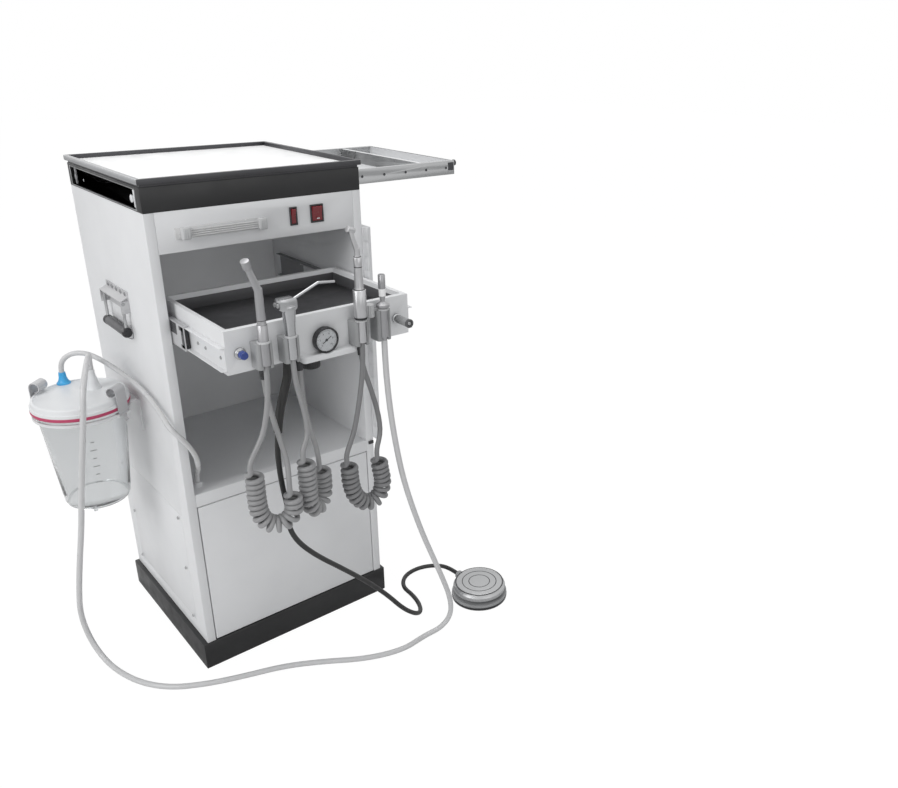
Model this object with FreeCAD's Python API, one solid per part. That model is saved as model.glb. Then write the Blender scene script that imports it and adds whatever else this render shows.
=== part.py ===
import FreeCAD, Part
import math
import os
from FreeCAD import Vector

# A portable dental unit: a narrow cabinet on a black plinth, with an instrument drawer, a side
# tray, a suction jar on the left wall and a foot control. Millimetres. The origin is the middle
# of the plinth's underside, +X to the right, +Y to the back, +Z up.

# ---- cabinet ----
cabinet_width = 380.0
cabinet_depth = 360.0
board = 16.0                   # side walls and shelves
plinth_height = 54.0
plinth_side = 8.0              # how far the plinth stands out beyond the walls
plinth_front = 2.0
plinth_back = 6.0
plinth_sheet = 3.0
plinth_flange = 24.0
wall_height = 797.0
back_panel_thickness = 12.0
control_panel_height = 65.0
control_panel_thickness = 12.0
shelf_height = 308.0           # top of the shelf above the plinth
shelf_rail_height = 24.0
liner_thickness = 6.0
service_space = 16.0           # pipes run between the liner and the back panel
panel_gap = 2.0                # round the lower front panel
lower_panel_thickness = 10.0
vent_count = 9
vent_width = 110.0
vent_slot = 5.0
vent_pitch = 14.0
vent_bottom = 60.0             # lowest slot above the plinth

# ---- side access sheet, let into the left wall ----
access_sheet = 2.0
access_front = 43.0            # from the wall's front edge
access_back = 30.0
access_low = 26.0              # above the plinth
access_height = 230.0
access_lap = 15.0
access_gap = 0.5

# ---- black band and the tray top ----
band_height = 39.0
band_wall = 4.0
band_floor = 2.0
band_window_front = 22.0
band_window_back = 14.0
band_trim = 3.0
top_lift = 4.0
top_inset = 2.0
rim_height = 8.5
rim_overhang = 3.5
rim_width = 8.0
worktop_sheet_thickness = 1.5

# ---- side tray on its rails ----
tray_pull = 230.0
tray_half_width = 152.0
tray_length = 328.0
tray_closed_reach = 4.0        # how far the closed tray stands out of the band
tray_rail_height = 26.0
tray_sheet = 1.5
tray_flange = 8.0
tray_clearance = 0.5
tray_divider_from_end = 68.0
tray_divider_width = 6.0
tray_knob_radius = 6.0
tray_knob_length = 12.0
tray_slide_holes = 5
tray_hole_radius = 2.5

# ---- drawer ----
drawer_pull = 180.0
slide_space = 13.0             # beside the drawer, for the telescopic slide
drawer_depth = 238.0
drawer_height = 68.0
drawer_rise = 275.0            # underside above the shelf
drawer_wall = 8.0
drawer_front_wall = 10.0
drawer_floor = 3.0
liner_drop = 27.0              # dark insert below the drawer's rim
insert_thickness = 3.0
insert_gap = 0.3
insert_ledge = 4.0             # strips that carry the insert
slide_height = 45.0
slide_length = 300.0            # the member on the wall
middle_slide_length = 250.0
middle_slide_back = 37.5       # its front end behind half of the drawer's travel
slide_steel = 1.5
slide_play = 0.5
slide_low = 2.5                # slide's lower edge above the drawer's underside
ledge_left = -45.0
ledge_right = 52.0
ledge_depth = 14.0
ledge_height = 11.0
ledge_low = -7.0

# ---- front cover door, folded back along the right wall ----
door_thickness = 12.0
door_gap = 1.0
door_overlap = 8.0             # on to the left stile when the door is shut
hinge_knuckles = 16
hinge_barrel_radius = 2.6
hinge_pin_radius = 1.5
hinge_leaf = 0.8
hinge_leaf_width = 30.0
hinge_leaf_clear = 1.4         # between the barrel and the door's edge
hinge_play = 0.05
knuckle_gap = 0.3

# ---- carrying handle on the left wall ----
handle_front = -45.0
handle_back = 62.0
handle_drop = 150.5            # plate's top below the band
handle_plate_height = 37.0
handle_plate_thickness = 2.0
handle_pivot_drop = 20.0
handle_pivot_out = 10.0
hood_reach = 15.0
bail_radius = 2.5
bail_length = 51.0
grip_radius = 8.0
bail_inset = 6.0
bail_play = 0.3
grip_over = 3.5                # past the middle of each of the bail's arms

# ---- switches and lamp in the control panel ----
switch_drop = 31.5             # switches' middle below the band
switch_height = 31.0
main_switch_in = 72.5          # from the right wall's inner face
main_switch_width = 25.0
light_switch_in = 117.0
light_switch_width = 14.0
bezel_thickness = 2.0
bezel_edge = 2.6
switch_depth = 28.0
rocker_gap = 0.4
rocker_throw = 16.0            # degrees from one side down to the other
lamp_in = 28.0                 # from the left wall's inner face
lamp_length = 150.0
lamp_drop = 35.5
lamp_height = 18.0
lamp_base = 4.0
lamp_depth = 13.0
lamp_cap = 14.0
lamp_cap_in = 8.0
lamp_cap_corner = 2.0
lamp_ribs = 4

# ---- instruments, on the drawer's front ----
holder_reach = 20.0            # instrument axis ahead of the drawer's front
holder_width = 26.0
holder_depth = 24.0
holder_low = 5.0               # above the drawer's underside
holder_height = 41.0
ejector_holder_extra = 11.0
holder_ledge = 6.0
holder_corner = 5.0
stem_radius = 7.9
stem_play = 0.3
hose_bore = 6.5
hose_slot = 11.0
high_speed_in = 51.0           # from the drawer's left side
syringe_in = 95.0
low_speed_in = 104.0           # from the drawer's right side
ejector_in = 62.0
gauge_x = 0.0
gauge_rise = 23.0              # above the drawer's underside
gauge_radius = 21.0
gauge_body_radius = 19.0
gauge_out = 10.0
gauge_stem_radius = 6.0
gauge_stem_length = 5.0
gauge_play = 0.3
gauge_bezel = 3.0
gauge_dish = 2.5
water_knob_in = 21.0           # from the drawer's left side
water_knob_rise = 31.0
water_knob_radius = 6.5
water_knob_length = 13.0
water_nut_radius = 9.0
water_nut_length = 5.0
air_knob_in = 24.0             # from the drawer's right side
air_knob_rise = 30.0
air_knob_radius = 7.0
air_knob_length = 40.0
air_flange_radius = 8.5
air_flange_length = 4.0
knob_shaft_radius = 3.0
knob_shaft_tail = 4.0          # behind the drawer's front
knob_play = 0.3
regulator_x = -14.0
regulator_back = 24.0          # behind the drawer's front
regulator_knob_radius = 15.5
regulator_knob_height = 15.0
regulator_chamfer = 1.5
regulator_gap = 13.0
regulator_shaft_radius = 4.0
regulator_body_radius = 11.0
valve_block_width = 230.0
valve_block_depth = 100.0
valve_block_height = 32.0
valve_block_front = 45.0       # behind the drawer's front

button_radius = 3.2
button_length = 5.0
button_travel = 2.5
button_play = 0.3
button_spread = 4.4
button_rise = 87.0             # above the foot of the syringe
button_proud = 0.5

# Turned outlines: (radius, height above the instrument's foot), from the bottom up.
high_speed_outline = [
    (7.9, 0), (7.9, 62), (6.8, 64), (6.8, 70), (6.4, 96), (6.0, 118),
]
high_speed_lean = (-15, -2, 40)        # from the neck's foot to the middle of the head
high_speed_neck_tip = 4.2
high_speed_head_axis = (-0.35, -0.25, 0.90)
high_speed_head_radius = 6.5
high_speed_head_length = 13.0
high_speed_head_below = 5.0
syringe_outline = [(7.9, 0), (7.9, 44), (8.6, 56), (11, 78), (11, 84)]
syringe_head_left = 17.0
syringe_head_right = 11.0
syringe_head_half = 9.0
syringe_head_low = 78.0
syringe_head_high = 96.0
syringe_head_corner = 5.0
nozzle_radius = 2.2
nozzle_start = (9, 92)                 # to the right of the axis, above the foot
nozzle_bend = (52, 110)
nozzle_end = (80, 107)
low_speed_outline = [
    (7.5, 0), (7.5, 39), (10.4, 41), (10.4, 86), (7.4, 88), (6.2, 122), (6.6, 124),
    (6.6, 138), (4.6, 140), (4.4, 152),
]
low_speed_lean = (-10, 0, 32)
low_speed_neck_tip = 3.6
low_speed_head_axis = (-0.95, -0.1, 0.30)
low_speed_head_radius = 4.6
low_speed_head_length = 13.0
low_speed_head_below = 7.0
low_speed_head_rise = 2.0
neck_root = 4.0                        # how deep a neck starts in the turned part below it
ejector_outline = [
    (7.9, 0), (7.9, 49), (11.0, 51), (11.0, 55), (3.6, 60), (4.6, 66), (5.4, 69), (5.4, 81),
    (5.8, 82), (5.8, 103), (5.0, 104.5),
]
ejector_bore = 3.4
ejector_bore_depth = 16.0

# ---- suction jar ----
jar_out = 90.0                 # from the left wall to the jar's middle
jar_y = 17.0
lid_top = 520.0
lid_radius = 80.0
lid_height = 17.0
lid_edge = 4.0
seal_height = 3.0
seal_radius = 79.0
jar_rim_height = 7.0
jar_rim_radius = 78.0
jar_top_radius = 72.0
jar_bottom_radius = 55.0
jar_height = 183.0
jar_wall = 3.0
jar_corner = 6.0
jar_foot_radius = 3.5
jar_foot_left = 19.0           # the moulding's pip, from the jar's middle
jar_foot_front = 43.0
ring_bore = 74.5
ring_radius = 79.0
ring_height = 5.0
bracket_plate = 3.0
bracket_width = 60.0
bracket_height = 60.0
spigot_right = 28.0            # from the jar's middle
spigot_back = 10.0
spigot_radius = 11.0
spigot_tip_radius = 4.0
spigot_wall = 1.5
spigot_height = 36.0
blue_left = 6.0
blue_back = 69.0
blue_radius = 9.0
blue_tip_radius = 5.5
blue_height = 19.0
clip_angles = {"back_clip": 135.0, "front_clip": -52.0}
clip_width = 27.0
clip_sheet = 2.0
clip_gap = 0.4
clip_reach = 12.0
clip_curl = 5.5
clip_lug = 2.5
clip_knuckle_radius = 2.2
clip_pin_radius = 1.0
float_right = 6.0              # from the jar's middle
float_back = 24.0
float_radius = 16.0
float_wall = 2.0
float_cage = 34.0

# ---- foot control ----
pedal_x = 340.0
pedal_y = -330.0
pedal_radius = 58.0
pedal_base_height = 12.0
pedal_top_height = 15.0
pedal_gap_height = 7.0         # between base and treadle when it is up
pedal_travel = 6.0
pedal_step = 3.0
pedal_edge = 7.0
pedal_post_radius = 14.0
pedal_post_reach = 4.0
pedal_play = 0.5
pedal_socket_radius = 9.0
pedal_socket_length = 14.0
pedal_socket_height = 13.0

# ---- inside ----
tank_radius = 54.0
tank_length = 270.0
tank_end_radius = 22.0
tank_before_back = 92.0        # from the cabinet's back
motor_radius = 46.0
motor_sink = 2.0               # into its cradle on the base plate
compressor_in = 23.0           # from the left wall's inner face
compressor_to_bottle = 17.0
compressor_behind_front = 108.0
base_plate = 6.0
base_plate_half = 44.0
crankcase_length = 44.0
crankcase_width = 64.0
crankcase_rise = 24.0
cylinder_radius = 16.0
fin_count = 5
fin_pitch = 8.0
fin_reach = 4.0
fin_thickness = 3.0
foot_height = 8.0
foot_radius = 10.0
foot_in = 12.0                 # from the base plate's edges
saddle_width = 24.0
water_radius = 38.0
water_height = 150.0
water_shoulder = 25.0
water_neck_radius = 18.0
water_neck = 22.0
water_in = 52.0                # from the right wall's inner face to the bottle's middle
water_behind_front = 76.0
box_width = 190.0
box_depth = 120.0
box_height = 42.0
box_behind_switch = 12.0
box_corner = 4.0
box_x = 40.0
inlet_in = 54.0                # from the right wall's inner face
inlet_height = 56.0            # centre above the plinth
inlet_width = 27.0
inlet_tall = 20.0
inlet_flange_width = 50.0
inlet_flange_tall = 24.0
inlet_flange = 2.5
inlet_depth = 25.0
inlet_recess_depth = 15.0
inlet_wall = 1.5
inlet_pin_spread = 7.0
inlet_pin_rise = 2.5
inlet_pin_width = 2.0
inlet_pin_height = 4.0
inlet_pin_length = 8.0

# ---- hoses ----
tail_radius = 4.25
coil_radius = 15.3
suction_hose_radius = 5.0
vacuum_hose_radius = 4.5
foot_hose_radius = 4.5
loom_radius = 6.8
shelf_bush_radius = 8.0

# ---- levels and planes that follow from these ----
left_x = -cabinet_width / 2
right_x = cabinet_width / 2
front_y = -cabinet_depth / 2
back_y = cabinet_depth / 2
inner_left = left_x + board
inner_right = right_x - board
panel_front = back_y - back_panel_thickness
band_bottom = plinth_height + wall_height
band_top = band_bottom + band_height
control_bottom = band_bottom - control_panel_height
shelf_top = plinth_height + shelf_height
rail_bottom = shelf_top - shelf_rail_height
floor_top = plinth_height + board
liner_back = panel_front - service_space
drawer_half = (inner_right - inner_left) / 2 - slide_space
drawer_front = front_y - drawer_pull
drawer_back = drawer_front + drawer_depth
drawer_bottom = shelf_top + drawer_rise
drawer_top = drawer_bottom + drawer_height
slide_bottom = drawer_bottom + slide_low
slide_top = slide_bottom + slide_height
insert_top = drawer_top - liner_drop
holder_bottom = drawer_bottom + holder_low
holder_top = holder_bottom + holder_height
stem_bottom = holder_bottom + holder_ledge
axis_y = drawer_front - holder_reach
high_speed_x = -drawer_half + high_speed_in
syringe_x = -drawer_half + syringe_in
low_speed_x = drawer_half - low_speed_in
ejector_x = drawer_half - ejector_in
gauge_z = drawer_bottom + gauge_rise
water_knob_x = -drawer_half + water_knob_in
water_knob_z = drawer_bottom + water_knob_rise
air_knob_x = drawer_half - air_knob_in
air_knob_z = drawer_bottom + air_knob_rise
tray_bottom = band_bottom + band_floor + tray_sheet + tray_clearance
tray_top = tray_bottom + tray_rail_height
tray_end = right_x + tray_closed_reach + tray_pull
tray_start = tray_end - tray_length
jar_x = left_x - jar_out
spigot_x = jar_x + spigot_right
spigot_y = jar_y + spigot_back
blue_x = jar_x - blue_left
blue_y = jar_y + blue_back
seal_top = lid_top - lid_height
jar_rim_top = seal_top - seal_height
jar_rim_bottom = jar_rim_top - jar_rim_height
jar_bottom = jar_rim_top - jar_height
ring_top = jar_rim_bottom
clip_radius = lid_radius + clip_gap
clip_pivot_z = ring_top - ring_height / 2
door_left = right_x + door_gap
hinge_x = right_x + hinge_barrel_radius + knuckle_gap
hinge_y = front_y - door_thickness
door_edge = hinge_y + hinge_barrel_radius + hinge_leaf_clear
door_bottom = shelf_top + panel_gap
door_top = control_bottom - panel_gap
switch_centre = band_bottom - switch_drop
switch_bottom = switch_centre - switch_height / 2
main_switch_x = inner_right - main_switch_in
light_switch_x = inner_right - light_switch_in
rocker_axis_y = front_y - bezel_thickness / 2
lamp_left = inner_left + lamp_in
lamp_right = lamp_left + lamp_length
lamp_centre = band_bottom - lamp_drop
handle_top = band_bottom - handle_drop
handle_pivot_x = left_x - handle_pivot_out
handle_pivot_z = handle_top - handle_pivot_drop
tank_y = back_y - tank_before_back
compressor_y = front_y + compressor_behind_front
water_x = inner_right - water_in
water_y = front_y + water_behind_front
inlet_x = inner_right - inlet_in
compressor_left = inner_left + compressor_in
compressor_right = water_x - water_radius - compressor_to_bottle
compressor_x = (compressor_left + compressor_right) / 2
motor_length = compressor_right - compressor_left - 2 * crankcase_length


# ---- hose routes ----
def placed(points, x, y, z):
    return [(x + dx, y + dy, z + dz) for dx, dy, dz in points]


# Each list is chosen along the hose's middle line, from where it leaves, and is measured from
# the fitting that it hangs on. The lists of one hose share the point where they meet.
high_speed_tail = placed([
    (0, 0, 0), (0, 0, -34), (-6, 0, -74), (-15, 0, -107), (-28, 0, -129),
    (-37.5, 0, -146), (-37.5, 0, -161),
], high_speed_x, axis_y, stem_bottom)
high_speed_turns = placed([
    (-37.5, 0, -161), (-37.5, 0, -189), (-37.9, 0.3, -220), (-35.6, -1, -246),
    (-20.8, -5, -265), (0.8, -10, -266.5), (16, -13.6, -251.5), (16.5, -14, -230),
    (16.5, -14, -209),
], high_speed_x, axis_y, stem_bottom)
high_speed_return = placed([
    (16.5, -14, -209), (16.5, -14, -193), (15, -9, -165), (12, 3, -130), (9, 17, -91),
    (7, 28, -48), (7, 28, -11),
], high_speed_x, axis_y, stem_bottom)
syringe_tail = placed([
    (0, 0, 0), (0, 0, -36), (8, -2, -76), (12, -4, -108), (10, -6, -132),
    (3.4, -7, -149), (3.4, -7, -164),
], syringe_x, axis_y, stem_bottom)
syringe_turns = placed([
    (3.4, -7, -164), (3.4, -7, -186), (3, -7.2, -209), (3.1, -7.1, -231),
    (4.2, -6.5, -253), (14.6, -0.7, -267.5), (29.8, 7.7, -267.5), (40.4, 13.6, -253),
    (41.8, 14.4, -231), (41, 14, -214), (41, 14, -197),
], syringe_x, axis_y, stem_bottom)
syringe_return = placed([
    (41, 14, -197), (41, 14, -181), (32, 13, -158), (24, 13, -127), (22, 20, -91),
    (24, 28, -48), (24, 28, -11),
], syringe_x, axis_y, stem_bottom)
low_speed_tail = placed([
    (0, 0, 0), (0, 0, -34), (-7, 0, -78), (-15, 0, -116), (-26, 0, -156),
    (-38.5, 0, -183), (-38.5, 0, -199),
], low_speed_x, axis_y, stem_bottom)
low_speed_turns = placed([
    (-38.5, 0, -199), (-38.5, 0, -240), (-32, 0, -272), (-10, 0, -294.5),
    (15, 0, -291), (27, 0, -265), (20, 0, -230), (20, 0, -208),
], low_speed_x, axis_y, stem_bottom)
low_speed_return = placed([
    (20, 0, -208), (20, 0, -192), (27, 1, -170), (27, 6, -135), (21.5, 18, -90),
    (13, 28, -48), (13, 28, -11),
], low_speed_x, axis_y, stem_bottom)
loom_route = placed([
    (5, 30, 0), (5, 30, -23), (-5, 30, -52), (-18, 30, -91), (-22, 30, -117),
], syringe_x, axis_y, drawer_bottom)
foot_hose_top_route = placed([
    (-22, 30, -117), (-26, 30, -143), (-26, 30, -185), (-23, 30, -223),
    (-19, 30, -249), (-19, 30, -274),
], syringe_x, axis_y, drawer_bottom)
foot_hose_drop = placed([
    (-19, 30, -274), (-19, 30, -297), (-4, 31, -331), (30, 34, -373), (76, 37, -419),
    (126, 41, -471), (172, 45, -525),
], syringe_x, axis_y, drawer_bottom)
foot_hose_floor = placed([
    (-200, -8, 64), (-166, 0, 30), (-140, 18, 11.5), (-122, 48, 5), (-114, 84, 4.5),
    (-114, 122, 4.5), (-90, 152, 4.5), (-52, 160, 4.5), (-18, 144, 7), (0, 110, 13), (0, 72, 13),
], pedal_x, pedal_y, 0)
foot_hose_route = foot_hose_drop + foot_hose_floor
suction_hose_drop = placed([
    (0, 0, 0), (0, 0, -36), (-1, -5, -86), (2, -8, -142), (9, -10, -202),
    (19, -11, -260), (35, -11, -320), (55, -11, -384),
], ejector_x, axis_y, holder_bottom)
suction_hose_floor = [
    (178, -390, 194), (202, -388, 132), (221, -385, 78), (226, -381, 34), (206, -375, 8),
    (166, -371, 5.2), (110, -379, 5.2), (40, -354, 5.2), (-24, -309, 5.2), (-88, -272, 5.2),
    (-158, -249, 5.2), (-218, -225, 5.2), (-272, -192, 5.2), (-308, -145, 5.2),
    (-329, -88, 5.2), (-340, -42, 12), (-351, -15, 48), (-357, -9, 104),
]
suction_hose_rise = placed([
    (-100, -49, -354), (-92, -65, -288), (-82, -79, -222), (-75, -90, -162),
    (-68, -99, -108), (-59, -106, -52), (-50, -110, 2), (-43, -104, 36), (-30, -84, 60),
    (-14, -50, 70), (-3, -18, 68), (0, 0, 54), (0, 0, 36),
], spigot_x, spigot_y, lid_top)
suction_hose_route = suction_hose_drop + suction_hose_floor + suction_hose_rise
vacuum_hose_over = placed([
    (0, 0, 0), (0, 0, 13), (6, -4, 27), (20, -13, 37), (38, -31, 38), (56, -50, 27),
    (73, -74, 10),
], blue_x, blue_y, lid_top + blue_height)
vacuum_hose_round = placed([
    (-12, 156, 176), (-9, 112, 170), (-9, 60, 161), (-12, 14, 151), (-12, -12, 140),
    (4, -23, 118), (22, -16, 84), (32, 8, 46), (35, 32, 24), (35, 32, 8),
], left_x, front_y, shelf_top)
vacuum_hose_route = vacuum_hose_over + vacuum_hose_round


# ---- shape helpers ----
def box(x0, x1, y0, y1, z0, z1):
    return Part.makeBox(x1 - x0, y1 - y0, z1 - z0, Vector(x0, y0, z0))


def rod(start, direction, radius, length):
    return Part.makeCylinder(radius, length, Vector(*start), Vector(*direction))


def taper(start, direction, radius_start, radius_end, length):
    return Part.makeCone(radius_start, radius_end, length, Vector(*start), Vector(*direction))


def turned(profile, x, y):
    """A solid of revolution about the vertical line through x, y from (radius, z) points."""
    corners = [Vector(x + radius, y, z) for radius, z in profile]
    face = Part.Face(Part.makePolygon(corners + corners[:1]))
    return face.revolve(Vector(x, y, 0), Vector(0, 0, 1), 360)


def joined(first, *others):
    return first.fuse(list(others)).removeSplitter()


def edges_along(shape, axis):
    found = []
    for edge in shape.Edges:
        if edge.Curve.TypeId != "Part::GeomLine":
            continue
        run = edge.tangentAt(edge.FirstParameter)
        if abs(run.dot(Vector(*axis))) > 0.999:
            found.append(edge)
    return found


def softened(shape, axis, radius):
    return shape.makeFillet(radius, edges_along(shape, axis))


def prism_x(outline, x0, x1):
    """A closed outline of (y, z) points pushed along X."""
    corners = [Vector(x0, y, z) for y, z in outline]
    return Part.Face(Part.makePolygon(corners + corners[:1])).extrude(Vector(x1 - x0, 0, 0))


def prism_y(outline, y0, y1):
    """A closed outline of (x, z) points pushed along Y."""
    corners = [Vector(x, y0, z) for x, z in outline]
    return Part.Face(Part.makePolygon(corners + corners[:1])).extrude(Vector(0, y1 - y0, 0))


def route_wire(points):
    """Straight runs joined by tangent arcs, each arc as large as its two runs allow."""
    corners = [Vector(*point) for point in points]
    edges = []
    radii = []
    start = corners[0]
    for before, corner, after in zip(corners, corners[1:], corners[2:]):
        into = corner - before
        out = after - corner
        reach = 0.45 * min(into.Length, out.Length)
        turn = into.getAngle(out)
        radii.append(reach / math.tan(turn / 2))
        into.normalize()
        out.normalize()
        arc_start = corner - into * reach
        arc_end = corner + out * reach
        toward = (out - into).normalize()
        bow = radii[-1] * (1 / math.cos(turn / 2) - 1)
        edges.append(Part.LineSegment(start, arc_start).toShape())
        edges.append(Part.Arc(arc_start, corner + toward * bow, arc_end).toShape())
        start = arc_end
    edges.append(Part.LineSegment(start, corners[-1]).toShape())
    return Part.Wire(edges), radii


def tube(name, points, radius):
    wire, radii = route_wire(points)
    first = wire.Edges[0]
    ring = Part.makeCircle(radius, Vector(*points[0]), first.tangentAt(first.FirstParameter))
    solid = wire.makePipeShell([Part.Wire(ring)], True, False)
    expected = math.pi * radius ** 2 * wire.Length
    smallest = ", ".join(f"{value:.0f}" for value in radii)
    print(f"{name}: length {wire.Length:.1f}, volume ratio {solid.Volume / expected:.4f}")
    print(f"  radii {smallest}")
    return solid


# ---- cabinet ----
def plinth():
    x0 = left_x - plinth_side
    x1 = right_x + plinth_side
    y0 = front_y - plinth_front
    y1 = back_y + plinth_back
    shell = box(x0, x1, y0, y1, 0, plinth_height)
    wall = plinth_sheet
    hollow = box(x0 + wall, x1 - wall, y0 + wall, y1 - wall, wall, plinth_height - wall)
    edge = plinth_flange
    mouth = box(x0 + edge, x1 - edge, y0 + edge, y1 - edge, plinth_height - 2 * wall, plinth_height)
    return shell.cut(hollow).cut(mouth)


def floor_board():
    return box(inner_left, inner_right, front_y + lower_panel_thickness, panel_front,
               plinth_height, floor_top)


def middle_shelf():
    shelf = box(inner_left, inner_right, front_y, panel_front, shelf_top - board, shelf_top)
    rail = box(inner_left, inner_right, front_y, front_y + board, rail_bottom, shelf_top)
    x, y, top = vacuum_hose_route[-1]
    bush = rod((x, y, shelf_top), (0, 0, 1), shelf_bush_radius, top - shelf_top)
    return joined(shelf, rail, bush)


def shelf_boards():
    return Part.makeCompound([floor_board(), middle_shelf()])


def left_wall():
    wall = box(left_x, inner_left, front_y, back_y, plinth_height, band_bottom)
    y0 = front_y + access_front
    y1 = back_y - access_back
    z0 = plinth_height + access_low
    z1 = z0 + access_height
    rebate = box(left_x, left_x + access_sheet, y0, y1, z0, z1)
    lap = access_lap
    window = box(left_x, inner_left, y0 + lap, y1 - lap, z0 + lap, z1 - lap)
    return wall.cut(rebate).cut(window)


def right_wall():
    return box(inner_right, right_x, front_y, back_y, plinth_height, band_bottom)


def back_panel():
    panel = box(inner_left, inner_right, panel_front, back_y, plinth_height, band_bottom)
    for row in range(vent_count):
        z = plinth_height + vent_bottom + row * vent_pitch
        for middle in (-vent_width * 0.7, vent_width * 0.7):
            if middle > 0 and row < 3:
                continue
            slot = box(middle - vent_width / 2, middle + vent_width / 2, panel_front, back_y,
                       z, z + vent_slot)
            panel = panel.cut(slot)
    z = plinth_height + inlet_height
    hole = box(inlet_x - inlet_width / 2, inlet_x + inlet_width / 2, panel_front, back_y,
               z - inlet_tall / 2, z + inlet_tall / 2)
    return panel.cut(hole)


def compartment_liner():
    back = box(inner_left, inner_right, liner_back, liner_back + liner_thickness,
               shelf_top, control_bottom + liner_thickness)
    roof = box(inner_left, inner_right, front_y + control_panel_thickness,
               liner_back + liner_thickness, control_bottom, control_bottom + liner_thickness)
    return joined(back, roof)


def switch_hole(x, width):
    half = width / 2 - bezel_edge / 2
    tall = switch_height / 2 - bezel_edge / 2
    return (x - half, x + half, switch_centre - tall, switch_centre + tall)


def control_panel():
    panel = box(inner_left, inner_right, front_y, front_y + control_panel_thickness,
                control_bottom, band_bottom)
    for x, width in ((main_switch_x, main_switch_width), (light_switch_x, light_switch_width)):
        x0, x1, z0, z1 = switch_hole(x, width)
        panel = panel.cut(box(x0, x1, front_y, front_y + control_panel_thickness, z0, z1))
    return panel


def lower_front_panel():
    return box(inner_left + panel_gap, inner_right - panel_gap,
               front_y, front_y + lower_panel_thickness,
               plinth_height + panel_gap, rail_bottom - panel_gap)


def side_access_sheet():
    z0 = plinth_height + access_low + access_gap
    return box(left_x, left_x + access_sheet,
               front_y + access_front + access_gap, back_y - access_back - access_gap,
               z0, z0 + access_height - 2 * access_gap)


def service_panels():
    return Part.makeCompound([lower_front_panel(), side_access_sheet()])


def top_band():
    band = box(left_x, right_x, front_y, back_y, band_bottom, band_top)
    wall = band_wall
    hollow = box(left_x + wall, right_x - wall, front_y + wall, back_y - wall,
                 band_bottom + band_floor, band_top)
    y0 = front_y + band_window_front
    y1 = back_y - band_window_back
    left_window = box(left_x, left_x + wall, y0, y1,
                      band_bottom + band_trim, band_top - band_trim - band_floor)
    slot = tray_half_width + tray_sheet + 2 * tray_clearance
    right_window = box(right_x - wall, right_x, -slot, slot,
                       band_bottom + band_floor, tray_top + tray_sheet + 2 * tray_clearance)
    return band.cut(hollow).cut(left_window).cut(right_window)


def top_tray():
    plate = box(left_x + top_inset, right_x - top_inset, front_y + top_inset, back_y - top_inset,
                band_top, band_top + top_lift)
    out = rim_overhang
    rim_top = band_top + top_lift + rim_height
    rim = box(left_x - out, right_x + out, front_y - out, back_y + out,
              band_top + top_lift, rim_top)
    rim = softened(rim, (0, 0, 1), rim_overhang)
    keep = rim_width - out
    bowl = box(left_x + keep, right_x - keep, front_y + keep, back_y - keep,
               band_top + top_lift, rim_top)
    return joined(plate, rim.cut(bowl))


def worktop_sheet():
    keep = rim_width - rim_overhang + access_gap
    z = band_top + top_lift
    return box(left_x + keep, right_x - keep, front_y + keep, back_y - keep,
               z, z + worktop_sheet_thickness)


# ---- slides ----
def channel_along_y(side, wall_x, height_inset, depth, y0, y1):
    """A C channel whose web stands at wall_x and whose flanges reach towards the drawer."""
    z0 = slide_bottom + height_inset
    z1 = slide_top - height_inset
    far = wall_x + side * depth
    inner = wall_x + side * slide_steel
    body = box(min(wall_x, far), max(wall_x, far), y0, y1, z0, z1)
    gap = box(min(inner, far), max(inner, far), y0, y1, z0 + slide_steel, z1 - slide_steel)
    return body.cut(gap)


def drawer_outer_slide(side):
    wall_x = -side * (inner_right - inner_left) / 2
    y0 = front_y + slide_play
    return channel_along_y(side, wall_x, 0, slide_space - 3, y0, y0 + slide_length)


def drawer_middle_slide(side):
    wall_x = -side * ((inner_right - inner_left) / 2 - slide_steel - slide_play)
    y0 = front_y + slide_play - drawer_pull / 2 + middle_slide_back
    return channel_along_y(side, wall_x, slide_steel + slide_play, slide_space - 4.5,
                           y0, y0 + middle_slide_length)


def drawer_inner_slide(side):
    """Screwed to the drawer's side, so its web is at the drawer and it opens to the wall."""
    web_x = -side * drawer_half
    inset = 2 * (slide_steel + slide_play)
    depth = slide_space - 2 * (slide_steel + slide_play)
    y0 = drawer_front + slide_play
    return channel_along_y(-side, web_x, inset, depth, y0, y0 + drawer_depth - 2 * slide_play)


def tray_outer_rail(side):
    """Stands on the band's floor and guides the tray's rail; side is -1 at the front."""
    outside = side * (tray_half_width + tray_clearance + tray_sheet)
    inside = side * (tray_half_width - tray_flange)
    web = side * (tray_half_width + tray_clearance)
    z0 = band_bottom + band_floor
    z1 = tray_top + tray_clearance + tray_sheet
    x0 = left_x + band_wall
    x1 = right_x - band_wall
    body = box(x0, x1, min(outside, inside), max(outside, inside), z0, z1)
    gap = box(x0, x1, min(web, inside), max(web, inside), z0 + tray_sheet, z1 - tray_sheet)
    return body.cut(gap)


def slide_rails():
    rails = [drawer_outer_slide(side) for side in (1, -1)]
    rails += [tray_outer_rail(side) for side in (1, -1)]
    return Part.makeCompound(rails)


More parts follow.
